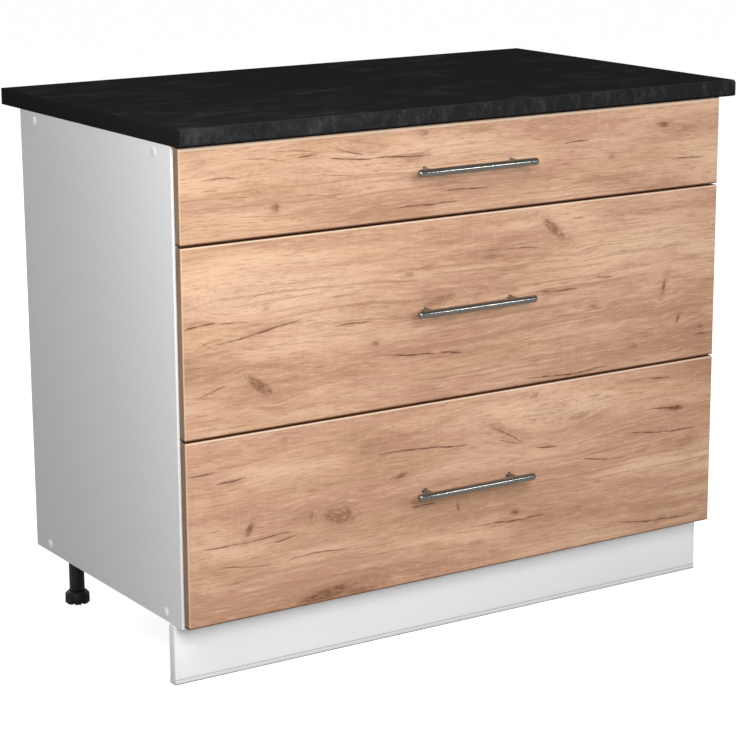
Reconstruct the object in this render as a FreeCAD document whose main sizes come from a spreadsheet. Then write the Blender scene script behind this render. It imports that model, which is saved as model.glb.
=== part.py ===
import FreeCAD, Part
import os
import re

import Sketcher
from FreeCAD import Placement, Rotation, Vector

# Kitchen base cabinet with three drawers, in millimetres.
#
# Every place below is given in the carcass's own frame: X to the right from the left side panel's
# outer face, Y backwards from the carcass's front edge, Z upwards from the side panels' lower edge.
# place() moves all of it to the part's origin: the middle of the outline, on the floor.

DIMENSIONS = {
    # carcass of melamine-faced board
    "width": 1000,
    "depth": 500,
    "height": 720,
    "board": 16,
    "panel_centre": 14,
    "top_rail_depth": 100,
    "back_thickness": 3,
    "back_margin": 2,
    "fixing_inset": 200,
    # worktop, flush with the left side and overhanging on the right
    "worktop_length": 1020,
    "worktop_depth": 600,
    "worktop_thickness": 26,
    "worktop_overhang": 30,
    "worktop_nose": 6,
    "worktop_lip": 3,
    "edging": 1,
    # drawer fronts
    "front_thickness": 16,
    "front_standoff": 2,
    "front_gap": 3,
    "front_foot": 4,
    "front_low": 140,
    "front_tall": 284,
    "front_round": 2,
    "bumper_diameter": 8,
    "bumper_thickness": 1.7,
    "bumper_base": 0.7,
    "bumper_margin": 25,
    # handles: a round rod on two posts
    "handle_length": 220,
    "handle_spacing": 160,
    "handle_diameter": 12,
    "handle_reach": 29,
    "handle_rise": 3.5,
    "post_diameter": 8,
    "post_seat": 3,
    "rosette_diameter": 12,
    "rosette_thickness": 2,
    "rosette_bevel": 0.5,
    "rod_bevel": 0.6,
    "thread_depth": 10,
    "machine_screw": 4,
    "machine_dome": 2.4,
    "machine_length": 40,
    # drawer boxes
    "box_depth": 450,
    "box_low": 90,
    "box_tall": 180,
    "rise_low": 20,
    "rise_tall": 32,
    "groove_height": 12,
    "groove_depth": 7,
    "groove_width": 3.2,
    "tray_thickness": 3,
    "tray_play": 0.5,
    "box_screw_low": 26,
    "box_screw_high": 22,
    "front_screw_outer": 380,
    "front_screw_inner": 180,
    "front_screw_margin": 30,
    # ball-bearing slides, three members each
    "slide_thickness": 12.7,
    "slide_height": 45,
    "slide_length": 450,
    "slide_setback": 2,
    "slide_level": 45,
    "steel": 1.2,
    "outer_reach": 10,
    "middle_height": 37.2,
    "middle_start": 3.6,
    "middle_reach": 10.6,
    "middle_length": 400,
    "inner_height": 27,
    "inner_start": 6.2,
    "slide_bore": 4.5,
    "slide_hole_front": 35,
    "slide_hole_middle": 224,
    "slide_hole_rear": 415,
    # levelling legs
    "leg_height": 100,
    "leg_side": 46,
    "leg_front": 62,
    "leg_rear": 452,
    "plate_size": 58,
    "plate_thickness": 4,
    "plate_round": 6,
    "plate_screw_pitch": 44,
    "tube_diameter": 25,
    "tube_bore": 17,
    "tube_bore_depth": 60,
    "rib_reach": 24,
    "rib_drop": 16,
    "rib_thickness": 2.5,
    "rib_tip": 1,
    "rib_sink": 0.5,
    "foot_diameter": 40,
    "foot_height": 20,
    "foot_floor": 6,
    "foot_engaged": 6,
    "foot_shoulder": 5,
    "stem_play": 0.3,
    "stem_length": 60,
    "flute_diameter": 7,
    "flute_height": 13,
    "tread_width": 4,
    "tread_length": 5,
    "tread_height": 2.5,
    # plinth
    "plinth_setback": 22,
    "plinth_overhang": 2,
    "plinth_top_gap": 1,
    "seal_wall": 0.8,
    "seal_floor": 1,
    "seal_height": 8,
    "clip_wall": 3.2,
    "clip_height": 16,
    "clip_tail": 8,
    "clip_play": 0.3,
    "clip_drop": 45,
    "peg_diameter": 8,
    "peg_length": 8,
    "peg_pitch": 16,
    # carcass screws and their caps
    "confirmat_head": 10,
    "confirmat_neck": 7,
    "confirmat_core": 6.3,
    "confirmat_length": 50,
    "confirmat_line": 50,
    "socket_width": 4.6,
    "socket_depth": 3,
    "cap_diameter": 13,
    "cap_thickness": 1.2,
    "cap_round": 0.5,
    "screw_play": 0.1,
    "wood_screw": 3.5,
    "wood_screw_head": 7,
    "wood_screw_dome": 2,
    "head_bevel": 0.8,
    "short_screw": 13,
    "front_screw": 28,
    "long_screw": 35,
    "screw_point": 3,
    "pilot_depth": 15,
    "nail_head": 4.5,
    "nail_dome": 0.8,
    "nail_bevel": 0.4,
    "nail": 1.6,
    "nail_length": 22,
    "nail_point": 2,
}

SLIDE_HOLES = ("slide_hole_front", "slide_hole_middle", "slide_hole_rear")
LONG_FIXING_X = ("fixing_inset", "width - fixing_inset")
FULL_TURN = 360
FLUTES = 8
RIBS = 4
NAIL_STEPS_UP = 7
NAIL_STEPS_ACROSS = 5

# Sizes that follow from the driving ones.
INSIDE = "(width - 2 * board)"
UNDERSIDE = "(panel_centre - board / 2)"
LEG_DROP = f"(leg_height - {UNDERSIDE})"
FRONT_FACE = "(-front_standoff - front_thickness)"
HANDLE_FRONT = f"({FRONT_FACE} - handle_reach - handle_diameter / 2)"
WORKTOP_BACK = "(worktop_depth - worktop_overhang)"
BOX_LEFT = "(board + slide_thickness)"
BOX_WIDTH = "(width - 2 * board - 2 * slide_thickness)"
BOX_START = "(-front_standoff)"
BETWEEN_SIDES = f"({BOX_WIDTH} - 2 * board)"
RIB_START = "(tube_diameter / 2 - 1)"

# The part's origin, seen from the carcass's corner.
MIDDLE_X = "((worktop_length - plinth_overhang) / 2)"
MIDDLE_Y = f"(({WORKTOP_BACK} + {HANDLE_FRONT}) / 2)"

TOWARDS_RIGHT = Rotation(Vector(0, 0, -1), Vector(1, 0, 0))
TOWARDS_FRONT = Rotation(Vector(0, 0, -1), Vector(0, -1, 0))
UPWARDS = Rotation(Vector(0, 0, -1), Vector(0, 0, 1))

doc = FreeCAD.newDocument("BaseCabinet")
nodes = []


def fill_sheet():
    """Write the driving dimensions into the sheet, each under its own name."""
    table = doc.addObject("Spreadsheet::Sheet", "Dims")
    for row, (alias, size) in enumerate(DIMENSIONS.items(), start=1):
        table.set(f"A{row}", alias)
        table.set(f"B{row}", str(size))
        table.setAlias(f"B{row}", alias)
    doc.recompute()
    return table


sheet = fill_sheet()


def bound(text):
    """Turn the words of a formula into references to the sheet's cells."""
    return re.sub(r"[a-z][a-z_]+", lambda word: f"Dims.{word.group()}", text)


def mm(text):
    """The value of a formula now."""
    return float(sheet.evalExpression(bound(text)))


def bind(item, name, text):
    item.setExpression(name, bound(text))


def place(piece, at, turn=None):
    """Put a piece at a point of the carcass's frame, turned if the piece was drawn another way."""
    if turn:
        piece.Placement = Placement(Vector(), turn)
    bind(piece, "Placement.Base.x", f"({at[0]}) - {MIDDLE_X}")
    bind(piece, "Placement.Base.y", f"({at[1]}) - {MIDDLE_Y}")
    bind(piece, "Placement.Base.z", f"({at[2]}) + {LEG_DROP}")
    return piece


def keep(piece, label):
    """Name a finished sub-part, so that it is written to its own file."""
    piece.Label = label
    nodes.append(piece)
    return piece


# ---------------------------------------------------------------- sketches and features

def new_body(name):
    return doc.addObject("PartDesign::Body", name)


def sketch_on(body, role, offset="0"):
    """An empty sketch on one of the body's own planes, moved along that plane's normal."""
    sketch = body.newObject("Sketcher::SketchObject", f"{body.Name}_sketch")
    plane = next(item for item in body.Origin.OriginFeatures if item.Role == role)
    sketch.AttachmentSupport = [(plane, "")]
    sketch.MapMode = "FlatFace"
    bind(sketch, "AttachmentOffset.Base.z", offset)
    return sketch


def dimension(sketch, kind, where, size):
    """A dimension of the sketch that follows a formula."""
    index = sketch.addConstraint(Sketcher.Constraint(kind, *where, mm(size)))
    bind(sketch, f"Constraints[{index}]", size)


def polygon(sketch, corners):
    """A closed outline whose corners are each dimensioned from the sketch's origin."""
    spots = [Vector(mm(across), mm(up), 0) for across, up in corners]
    following = spots[1:] + spots[:1]
    first = sketch.GeometryCount
    for spot, next_spot in zip(spots, following):
        sketch.addGeometry(Part.LineSegment(spot, next_spot), False)
    for number, (across, up) in enumerate(corners):
        line = first + number
        next_line = first + (number + 1) % len(corners)
        sketch.addConstraint(Sketcher.Constraint("Coincident", line, 2, next_line, 1))
        dimension(sketch, "DistanceX", (-1, 1, line, 1), across)
        dimension(sketch, "DistanceY", (-1, 1, line, 1), up)


def rectangle(sketch, low, high):
    polygon(sketch, [low, (high[0], low[1]), high, (low[0], high[1])])


def circles(sketch, centres, diameter):
    for across, up in centres:
        circle = Part.Circle(Vector(mm(across), mm(up), 0), Vector(0, 0, 1), mm(diameter) / 2)
        index = sketch.addGeometry(circle, False)
        dimension(sketch, "DistanceX", (-1, 1, index, 3), across)
        dimension(sketch, "DistanceY", (-1, 1, index, 3), up)
        dimension(sketch, "Diameter", (index,), diameter)


def extrude(body, kind, sketch, length, reverse=False):
    """A Pad or a Pocket of a sketch."""
    feature = body.newObject(f"PartDesign::{kind}", f"{body.Name}_{kind.lower()}")
    feature.Profile = sketch
    bind(feature, "Length", length)
    feature.Reversed = reverse
    return feature


def drill(body, role, offset, centres, diameter, depth, reverse=False):
    """Round blind holes that start on a plane; depth may pass the far side."""
    sketch = sketch_on(body, role, offset)
    circles(sketch, centres, diameter)
    return extrude(body, "Pocket", sketch, depth, reverse)


def countersink(body, centres):
    """Through holes for the carcass screws, opened out for their heads on the left face."""
    sketch = sketch_on(body, "YZ_Plane")
    circles(sketch, centres, "confirmat_neck + 2 * screw_play")
    doc.recompute()
    holes = body.newObject("PartDesign::Hole", f"{body.Name}_holes")
    holes.Profile = sketch
    holes.DepthType = "ThroughAll"
    holes.HoleCutType = "Countersink"
    holes.HoleCutCountersinkAngle = 90
    bind(holes, "Diameter", "confirmat_neck + 2 * screw_play")
    bind(holes, "HoleCutDiameter", "confirmat_head + 8 * screw_play")
    holes.Reversed = True
    return holes


def cut_block(body, low, high):
    """A rectangular recess between two corners."""
    sketch = sketch_on(body, "XY_Plane", high[2])
    rectangle(sketch, low[:2], high[:2])
    return extrude(body, "Pocket", sketch, f"({high[2]}) - ({low[2]})")


def dress(body, kind, size, wanted):
    """A Fillet or a Chamfer on the edges of the body's last feature that pass a test."""
    doc.recompute()
    base = body.Tip
    names = [f"Edge{number}" for number, edge in enumerate(base.Shape.Edges, start=1) if wanted(edge)]
    feature = body.newObject(f"PartDesign::{kind}", f"{body.Name}_{kind.lower()}")
    feature.Base = (base, names)
    bind(feature, "Radius" if kind == "Fillet" else "Size", size)
    return feature


def around_axis(body, feature, count):
    """Repeat a feature around the body's vertical axis."""
    pattern = body.newObject("PartDesign::PolarPattern", f"{body.Name}_pattern")
    pattern.Originals = [feature]
    axis = next(item for item in body.Origin.OriginFeatures if item.Role == "Z_Axis")
    pattern.Axis = (axis, [""])
    pattern.Angle = FULL_TURN
    pattern.Occurrences = count
    body.Tip = pattern
    return pattern


def board(label, size, at):
    """A flat board with one corner at a point of the carcass's frame."""
    body = new_body(label)
    sketch = sketch_on(body, "XY_Plane")
    rectangle(sketch, ("0", "0"), size[:2])
    extrude(body, "Pad", sketch, size[2])
    return place(body, at)


def turned(name, outline):
    """A body of revolution about its own Z axis, from half of its outline."""
    body = new_body(name)
    sketch = sketch_on(body, "XZ_Plane")
    polygon(sketch, outline)
    spin = body.newObject("PartDesign::Revolution", f"{name}_revolution")
    spin.Profile = sketch
    spin.ReferenceAxis = (sketch, ["V_Axis"])
    spin.Angle = FULL_TURN
    return body


# ---------------------------------------------------------------- repeated and mirrored pieces

def copy_at(source, at, turn=None):
    """A copy of a piece that was drawn at its own origin."""
    link = doc.addObject("App::Link", f"{source.Name}_copy")
    link.LinkedObject = source
    return place(link, at, turn)


def mirrored(source):
    """The same piece on the other side of the carcass's middle."""
    mirror = doc.addObject("Part::Mirroring", f"{source.Name}_mirrored")
    mirror.Source = source
    mirror.Normal = Vector(1, 0, 0)
    bind(mirror, "Base.x", f"width / 2 - {MIDDLE_X}")
    return mirror


def group(pieces, label):
    """Like pieces that share one sub-part, each its own solid."""
    compound = doc.addObject("Part::Compound", label)
    compound.Links = pieces
    return keep(compound, label)


def both_sides(pieces, label):
    """A group with its mirror image on the right."""
    left = doc.addObject("Part::Compound", f"{label}_one_side")
    left.Links = pieces
    return group([left, mirrored(left)], label)


# ---------------------------------------------------------------- fasteners

def countersunk_screw(name, head, neck, core, length):
    """Screw with a flat top at its origin, pointing down: cone, neck, threaded length and tip."""
    neck_end = "-board + 2"
    outline = [
        ("0", "0"),
        (f"{head} / 2", "0"),
        (f"{head} / 2", "-screw_play"),
        (f"{neck} / 2", f"-screw_play - ({head} - {neck}) / 2"),
        (f"{neck} / 2", neck_end),
        (f"{core} / 2", f"{neck_end} - 1"),
        (f"{core} / 2", f"-{length} + screw_point"),
        ("0", f"-{length}"),
    ]
    return turned(name, outline)


def pan_head_screw(name, head, dome, shank, length, pointed=True):
    """Screw whose head rests on its origin's plane, pointing down, with a cross recess."""
    outline = [
        ("0", dome),
        (f"{head} / 2 - head_bevel", dome),
        (f"{head} / 2", f"{dome} - head_bevel"),
        (f"{head} / 2", "0"),
        (f"{shank} / 2", "0"),
    ]
    if pointed:
        outline.append((f"{shank} / 2", f"screw_point - {length}"))
    else:
        outline.append((f"{shank} / 2", f"{shank} / 4 - {length}"))
        outline.append((f"{shank} / 4", f"-{length}"))
    outline.append(("0", f"-{length}"))
    body = turned(name, outline)
    for wide, deep in ((0.3, 0.07), (0.07, 0.3)):
        low = (f"-{head} * {wide}", f"-{head} * {deep}", f"{dome} * 0.4")
        high = (f"{head} * {wide}", f"{head} * {deep}", dome)
        cut_block(body, low, high)
    return body


confirmat = countersunk_screw("confirmat", "confirmat_head", "confirmat_neck", "confirmat_core",
                              "confirmat_length")
drill(confirmat, "XY_Plane", "0", [("0", "0")], "socket_width", "socket_depth")
wood_screw_short = pan_head_screw("wood_screw_short", "wood_screw_head", "wood_screw_dome",
                                  "wood_screw", "short_screw")
wood_screw_front = pan_head_screw("wood_screw_front", "wood_screw_head", "wood_screw_dome",
                                  "wood_screw", "front_screw")
wood_screw_long = pan_head_screw("wood_screw_long", "wood_screw_head", "wood_screw_dome",
                                 "wood_screw", "long_screw")
machine_screw = pan_head_screw("machine_screw", "machine_screw * 2", "machine_dome",
                               "machine_screw", "machine_length", pointed=False)


# ---------------------------------------------------------------- carcass

def make_side_panels():
    """Left panel with its countersunk screw holes, and the right one as its mirror image."""
    panel = board("side_panel_left", ("board", "depth", "height"), ("0", "0", "0"))
    spots = []
    for along in ("confirmat_line", "depth - confirmat_line"):
        spots.append((along, "panel_centre"))
        spots.append((along, "height - panel_centre"))
    countersink(panel, spots)
    keep(panel, "side_panel_left")
    keep(mirrored(panel), "side_panel_right")


def drill_ends(body, length, centres):
    """Core holes for the carcass screws in both ends of a board that lies along X."""
    diameter = "confirmat_core + 2 * screw_play"
    depth = "confirmat_length - board + 1"
    drill(body, "YZ_Plane", "0", centres, diameter, depth, reverse=True)
    drill(body, "YZ_Plane", length, centres, diameter, depth)


def make_cross_panels():
    """Bottom panel and the two flat rails that carry the worktop."""
    bottom = board("bottom_panel", (INSIDE, "depth", "board"), ("board", "0", UNDERSIDE))
    ends = [("confirmat_line", "board / 2"), ("depth - confirmat_line", "board / 2")]
    drill_ends(bottom, INSIDE, ends)
    keep(bottom, "bottom_panel")
    rail_level = "height - panel_centre - board / 2"
    for label, start in (("top_rail_front", "0"), ("top_rail_rear", "depth - top_rail_depth")):
        rail = board(label, (INSIDE, "top_rail_depth", "board"), ("board", start, rail_level))
        drill_ends(rail, INSIDE, [("top_rail_depth / 2", "board / 2")])
        spots = [(f"{across} - board", "top_rail_depth / 2") for across in LONG_FIXING_X]
        drill(rail, "XY_Plane", "board", spots, "wood_screw + 1", "board")
        keep(rail, label)


def make_back_panel():
    """Thin back nailed to the rear edges of the carcass."""
    size = ("width - 2 * back_margin", "back_thickness", "height - 2 * back_margin")
    keep(board("back_panel", size, ("back_margin", "depth", "back_margin")), "back_panel")
    nail = turned("panel_nail", [
        ("0", "nail_dome"),
        ("nail_head / 2 - nail_bevel", "nail_dome"),
        ("nail_head / 2", "0"),
        ("nail / 2", "0"),
        ("nail / 2", "nail_point - nail_length"),
        ("0", "-nail_length"),
    ])
    steps_up = range(1, NAIL_STEPS_UP)
    steps_across = range(1, NAIL_STEPS_ACROSS)
    spots = [("board / 2", f"height * {step} / {NAIL_STEPS_UP}") for step in steps_up]
    spots += [(f"width - {across}", up) for across, up in spots]
    for level in ("panel_centre", "height - panel_centre"):
        spots += [(f"width * {step} / {NAIL_STEPS_ACROSS}", level) for step in steps_across]
    rear = "depth + back_thickness"
    nails = [copy_at(nail, (across, rear, up), TOWARDS_FRONT) for across, up in spots]
    group(nails, "back_panel_nails")


def make_carcass_screws():
    """Carcass screws driven through the side panels, and the caps that hide their heads."""
    cap = turned("cap", [
        ("0", "0"),
        ("cap_diameter / 2", "0"),
        ("cap_diameter / 2", "cap_thickness - cap_round"),
        ("cap_diameter / 2 - cap_round", "cap_thickness"),
        ("0", "cap_thickness"),
    ])
    screws = []
    caps = []
    for along in ("confirmat_line", "depth - confirmat_line"):
        for level in ("panel_centre", "height - panel_centre"):
            screws.append(copy_at(confirmat, ("screw_play * 3", along, level), TOWARDS_RIGHT))
            caps.append(copy_at(cap, ("0", along, level), TOWARDS_RIGHT))
    both_sides(screws, "carcass_screws")
    both_sides(caps, "screw_caps")


def make_worktop():
    """Worktop with a rolled front edge, edging strips on its ends, and its fixing screws."""
    body = new_body("worktop")
    sketch = sketch_on(body, "YZ_Plane")
    rectangle(sketch, ("0", "0"), ("worktop_depth", "worktop_thickness"))
    extrude(body, "Pad", sketch, "worktop_length - 2 * edging")
    top = mm("worktop_thickness")
    dress(body, "Fillet", "worktop_nose", lambda edge: long_edge_at(edge, 0, top))
    dress(body, "Fillet", "worktop_lip", lambda edge: long_edge_at(edge, 0, 0))
    spots = []
    for across in LONG_FIXING_X:
        for along in ("top_rail_depth / 2", "depth - top_rail_depth / 2"):
            spots.append((f"{across} - edging", f"{along} + worktop_overhang"))
    drill(body, "XY_Plane", "0", spots, "wood_screw + 2 * screw_play", "pilot_depth", reverse=True)
    place(body, ("edging", "-worktop_overhang", "height"))
    keep(body, "worktop")
    strips = []
    for start in ("0", "worktop_length - edging"):
        strip = new_body("edging_strip")
        outline = sketch_on(strip, "YZ_Plane")
        rectangle(outline, ("0", "0"), ("worktop_depth", "worktop_thickness"))
        extrude(strip, "Pad", outline, "edging")
        dress(strip, "Fillet", "worktop_nose", lambda edge: long_edge_at(edge, 0, top))
        dress(strip, "Fillet", "worktop_lip", lambda edge: long_edge_at(edge, 0, 0))
        strips.append(place(strip, (start, "-worktop_overhang", "height")))
    group(strips, "worktop_end_strips")
    level = "height - panel_centre - board / 2"
    screws = []
    for across in LONG_FIXING_X:
        for along in ("top_rail_depth / 2", "depth - top_rail_depth / 2"):
            screws.append(copy_at(wood_screw_long, (across, along, level), UPWARDS))
    group(screws, "worktop_screws")


def long_edge_at(edge, along, up):
    """Whether an edge runs along X at a given place of a section."""
    box = edge.BoundBox
    flat = box.YLength < 0.01 and box.ZLength < 0.01
    return flat and abs(box.YMin - along) < 0.01 and abs(box.ZMin - up) < 0.01


# ---------------------------------------------------------------- legs and plinth

LEG_SPOTS = {
    "front_left": ("leg_side", "leg_front"),
    "front_right": ("width - leg_side", "leg_front"),
    "rear_left": ("leg_side", "leg_rear"),
    "rear_right": ("width - leg_side", "leg_rear"),
}


def make_leg_bodies():
    """Flange plate with a ribbed tube below it; the levelling stem runs in the tube."""
    body = new_body("leg_body")
    plate = sketch_on(body, "XY_Plane")
    rectangle(plate, ("-plate_size / 2", "-plate_size / 2"), ("plate_size / 2", "plate_size / 2"))
    extrude(body, "Pad", plate, "plate_thickness", reverse=True)
    dress(body, "Fillet", "plate_round", lambda edge: edge.BoundBox.ZLength > 1)
    tube = sketch_on(body, "XY_Plane")
    circles(tube, [("0", "0")], "tube_diameter")
    length = "leg_height - foot_height + foot_engaged"
    extrude(body, "Pad", tube, length, reverse=True)
    rib = sketch_on(body, "XZ_Plane")
    corners = [
        (RIB_START, "rib_sink - plate_thickness"),
        ("rib_reach", "rib_sink - plate_thickness"),
        ("rib_reach", "-plate_thickness - rib_tip"),
        ("tube_diameter / 2", "-plate_thickness - rib_drop"),
        (RIB_START, "-plate_thickness - rib_drop"),
    ]
    polygon(rib, corners)
    gusset = extrude(body, "Pad", rib, "rib_thickness")
    gusset.SideType = "Symmetric"
    around_axis(body, gusset, RIBS)
    pitch = "plate_screw_pitch / 2"
    spots = [(across, along) for across in (f"-{pitch}", pitch) for along in (f"-{pitch}", pitch)]
    drill(body, "XY_Plane", "0", spots, "wood_screw + 1", "plate_thickness")
    drill(body, "XY_Plane", f"-({length})", [("0", "0")], "tube_bore", "tube_bore_depth", reverse=True)
    legs = [copy_at(body, (*spot, UNDERSIDE)) for spot in LEG_SPOTS.values()]
    group(legs, "leg_bodies")
    screws = []
    level = f"{UNDERSIDE} - plate_thickness"
    for across, along in LEG_SPOTS.values():
        for side, way in spots:
            at = (f"{across} + ({side})", f"{along} + ({way})", level)
            screws.append(copy_at(wood_screw_short, at, UPWARDS))
    group(screws, "leg_screws")


def make_foot(name, spot):
    """Fluted levelling foot: a cup round the tube's end, with its stem standing in the bore."""
    body = new_body(f"foot_{name}")
    disc = sketch_on(body, "XY_Plane")
    circles(disc, [("0", "0")], "foot_diameter")
    extrude(body, "Pad", disc, "foot_height")
    top = mm("foot_height")
    dress(body, "Chamfer", "foot_shoulder", lambda edge: abs(edge.BoundBox.ZMin - top) < 0.01)
    cup = "tube_diameter + 2 * stem_play"
    drill(body, "XY_Plane", "foot_height", [("0", "0")], cup, "foot_height - foot_floor")
    stem = sketch_on(body, "XY_Plane", "foot_floor")
    circles(stem, [("0", "0")], "tube_bore - 2 * stem_play")
    extrude(body, "Pad", stem, "stem_length")
    flute = drill(body, "XY_Plane", "flute_height",
                  [("foot_diameter / 2 + flute_diameter / 4", "0")], "flute_diameter", "flute_height")
    around_axis(body, flute, FLUTES)
    tread = cut_block(body, ("foot_diameter / 2 - tread_length", "-tread_width / 2", "0"),
                      ("foot_diameter / 2 + 1", "tread_width / 2", "tread_height"))
    around_axis(body, tread, FLUTES)
    place(body, (*spot, f"-{LEG_DROP}"))
    keep(body, f"foot_{name}")


def make_plinth():
    """Plinth board, the clear seal that wraps its lower edge, and the clips behind it."""
    length = "width + 2 * plinth_overhang"
    drop = f"({LEG_DROP} - seal_floor - plinth_top_gap)"
    bottom = f"seal_floor - {LEG_DROP}"
    plinth = board("plinth_board", (length, "board", drop),
                   ("-plinth_overhang", "plinth_setback", bottom))
    peg_level = f"{LEG_DROP} - seal_floor - clip_drop + clip_height / 2"
    spots = []
    for across in ("leg_side", "width - leg_side"):
        for side in ("-peg_pitch / 2", "peg_pitch / 2"):
            spots.append((f"{across} + plinth_overhang + ({side})", peg_level))
    drill(plinth, "XZ_Plane", "-board", spots, "peg_diameter", "peg_length + 0.5", reverse=True)
    keep(plinth, "plinth_board")

    seal = new_body("plinth_seal")
    outline = sketch_on(seal, "YZ_Plane")
    polygon(outline, [
        ("-seal_wall", "0"),
        ("board + seal_wall", "0"),
        ("board + seal_wall", "seal_height"),
        ("board", "seal_height"),
        ("board", "seal_floor"),
        ("0", "seal_floor"),
        ("0", "seal_height"),
        ("-seal_wall", "seal_height"),
    ])
    extrude(seal, "Pad", outline, length)
    place(seal, ("-plinth_overhang", "plinth_setback", f"-{LEG_DROP}"))
    keep(seal, "plinth_seal")

    clip = new_body("plinth_clip")
    half = "(tube_diameter / 2 + clip_play + clip_wall)"
    to_tube = "(leg_front - plinth_setback - board)"
    jaw = sketch_on(clip, "XY_Plane")
    rectangle(jaw, (f"-{half}", "0"), (half, f"{to_tube} + clip_tail"))
    extrude(clip, "Pad", jaw, "clip_height")
    bore = "tube_diameter + 2 * clip_play"
    drill(clip, "XY_Plane", "clip_height", [("0", to_tube)], bore, "clip_height")
    cut_block(clip, (f"-({bore}) / 2", to_tube, "0"),
              (f"({bore}) / 2", f"{to_tube} + clip_tail", "clip_height"))
    pegs = sketch_on(clip, "XZ_Plane")
    circles(pegs, [("-peg_pitch / 2", "clip_height / 2"), ("peg_pitch / 2", "clip_height / 2")],
            "peg_diameter")
    extrude(clip, "Pad", pegs, "peg_length")
    places = [(across, "plinth_setback + board", "-clip_drop")
              for across in ("leg_side", "width - leg_side")]
    group([copy_at(clip, at) for at in places], "plinth_clips")


# ---------------------------------------------------------------- slides

def channel(name, start, end, height, length, web_at_start, holes):
    """A steel channel that runs backwards, open to the left or to the right."""
    body = new_body(name)
    sketch = sketch_on(body, "XZ_Plane")
    half = f"({height}) / 2"
    web = start if web_at_start else end
    tip = end if web_at_start else start
    inner = f"{web} + steel" if web_at_start else f"{web} - steel"
    polygon(sketch, [
        (web, f"-{half}"),
        (tip, f"-{half}"),
        (tip, f"steel - {half}"),
        (inner, f"steel - {half}"),
        (inner, f"{half} - steel"),
        (tip, f"{half} - steel"),
        (tip, half),
        (web, half),
    ])
    extrude(body, "Pad", sketch, length, reverse=True)
    if holes:
        spots = [(along, "0") for along in holes]
        far = inner if web_at_start else web
        drill(body, "YZ_Plane", far, spots, "slide_bore", "steel")
    return body


outer_member = channel("outer_member", "0", "outer_reach", "slide_height", "slide_length", True,
                       SLIDE_HOLES)
middle_member = channel("middle_member", "middle_start", "middle_reach", "middle_height",
                        "middle_length", True, ())
inner_member = channel("inner_member", "inner_start", "slide_thickness", "inner_height",
                       "slide_length", False, SLIDE_HOLES)


def make_cabinet_rails(levels):
    """The slides' cabinet members on both side panels, and the screws that hold them."""
    rails = []
    screws = []
    for level in levels:
        rails.append(copy_at(outer_member, ("board", "slide_setback", level)))
        for along in SLIDE_HOLES:
            at = ("board + steel", f"slide_setback + {along}", level)
            screws.append(copy_at(wood_screw_short, at, TOWARDS_RIGHT * UPWARDS))
    both_sides(rails, "outer_rails")
    both_sides(screws, "rail_screws")


# ---------------------------------------------------------------- drawers

def make_front(name, height, bottom):
    """Decorative front with softly rounded edges and two holes for the handle's screws."""
    width = "width - 2 * front_gap"
    front = board(f"{name}_front", (width, "front_thickness", height), ("front_gap", FRONT_FACE, bottom))
    dress(front, "Fillet", "front_round", lambda edge: edge.BoundBox.YMax < 0.01)
    middle = "(width / 2 - front_gap)"
    spots = [(f"{middle} {side} handle_spacing / 2", f"({height}) / 2 + handle_rise")
             for side in ("-", "+")]
    drill(front, "XZ_Plane", "0", spots, "machine_screw + 0.6", "front_thickness")
    keep(front, f"{name}_front")


def make_handle(name, level):
    """Round rod with two posts let into it, and the machine screws from inside the drawer."""
    rod = new_body(f"{name}_handle_rod")
    section = sketch_on(rod, "YZ_Plane", "-handle_length / 2")
    circles(section, [("0", "0")], "handle_diameter")
    extrude(rod, "Pad", section, "handle_length")
    dress(rod, "Chamfer", "rod_bevel", lambda edge: edge.BoundBox.XLength < 0.01)
    spots = [("-handle_spacing / 2", "0"), ("handle_spacing / 2", "0")]
    drill(rod, "XZ_Plane", "-handle_diameter / 2", spots, "post_diameter", "post_seat", reverse=True)
    place(rod, ("width / 2", f"{FRONT_FACE} - handle_reach", level))

    reach = "(handle_reach - handle_diameter / 2 + post_seat)"
    post = turned(f"{name}_handle_post", [
        ("machine_screw / 2", "0"),
        ("rosette_diameter / 2", "0"),
        ("rosette_diameter / 2", "rosette_bevel - rosette_thickness"),
        ("rosette_diameter / 2 - rosette_bevel", "-rosette_thickness"),
        ("post_diameter / 2", "-rosette_thickness"),
        ("post_diameter / 2", f"-{reach}"),
        ("0", f"-{reach}"),
        ("0", "-thread_depth"),
        ("machine_screw / 2", "-thread_depth"),
    ])
    pieces = [rod]
    screws = []
    for side in ("-", "+"):
        across = f"width / 2 {side} handle_spacing / 2"
        pieces.append(copy_at(post, (across, FRONT_FACE, level), TOWARDS_FRONT))
        at = (across, f"{BOX_START} + board", level)
        screws.append(copy_at(machine_screw, at, TOWARDS_FRONT))
    group(pieces, f"{name}_handle")
    group(screws, f"{name}_handle_screws")


def groove_cross_board(body, inner_side):
    """Groove for the drawer's bottom along one face of a board that lies along X."""
    near = "board - groove_depth" if inner_side == "rear" else "0"
    far = "board" if inner_side == "rear" else "groove_depth"
    cut_block(body, ("0", near, "groove_height"), (BETWEEN_SIDES, far, "groove_height + groove_width"))


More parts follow.
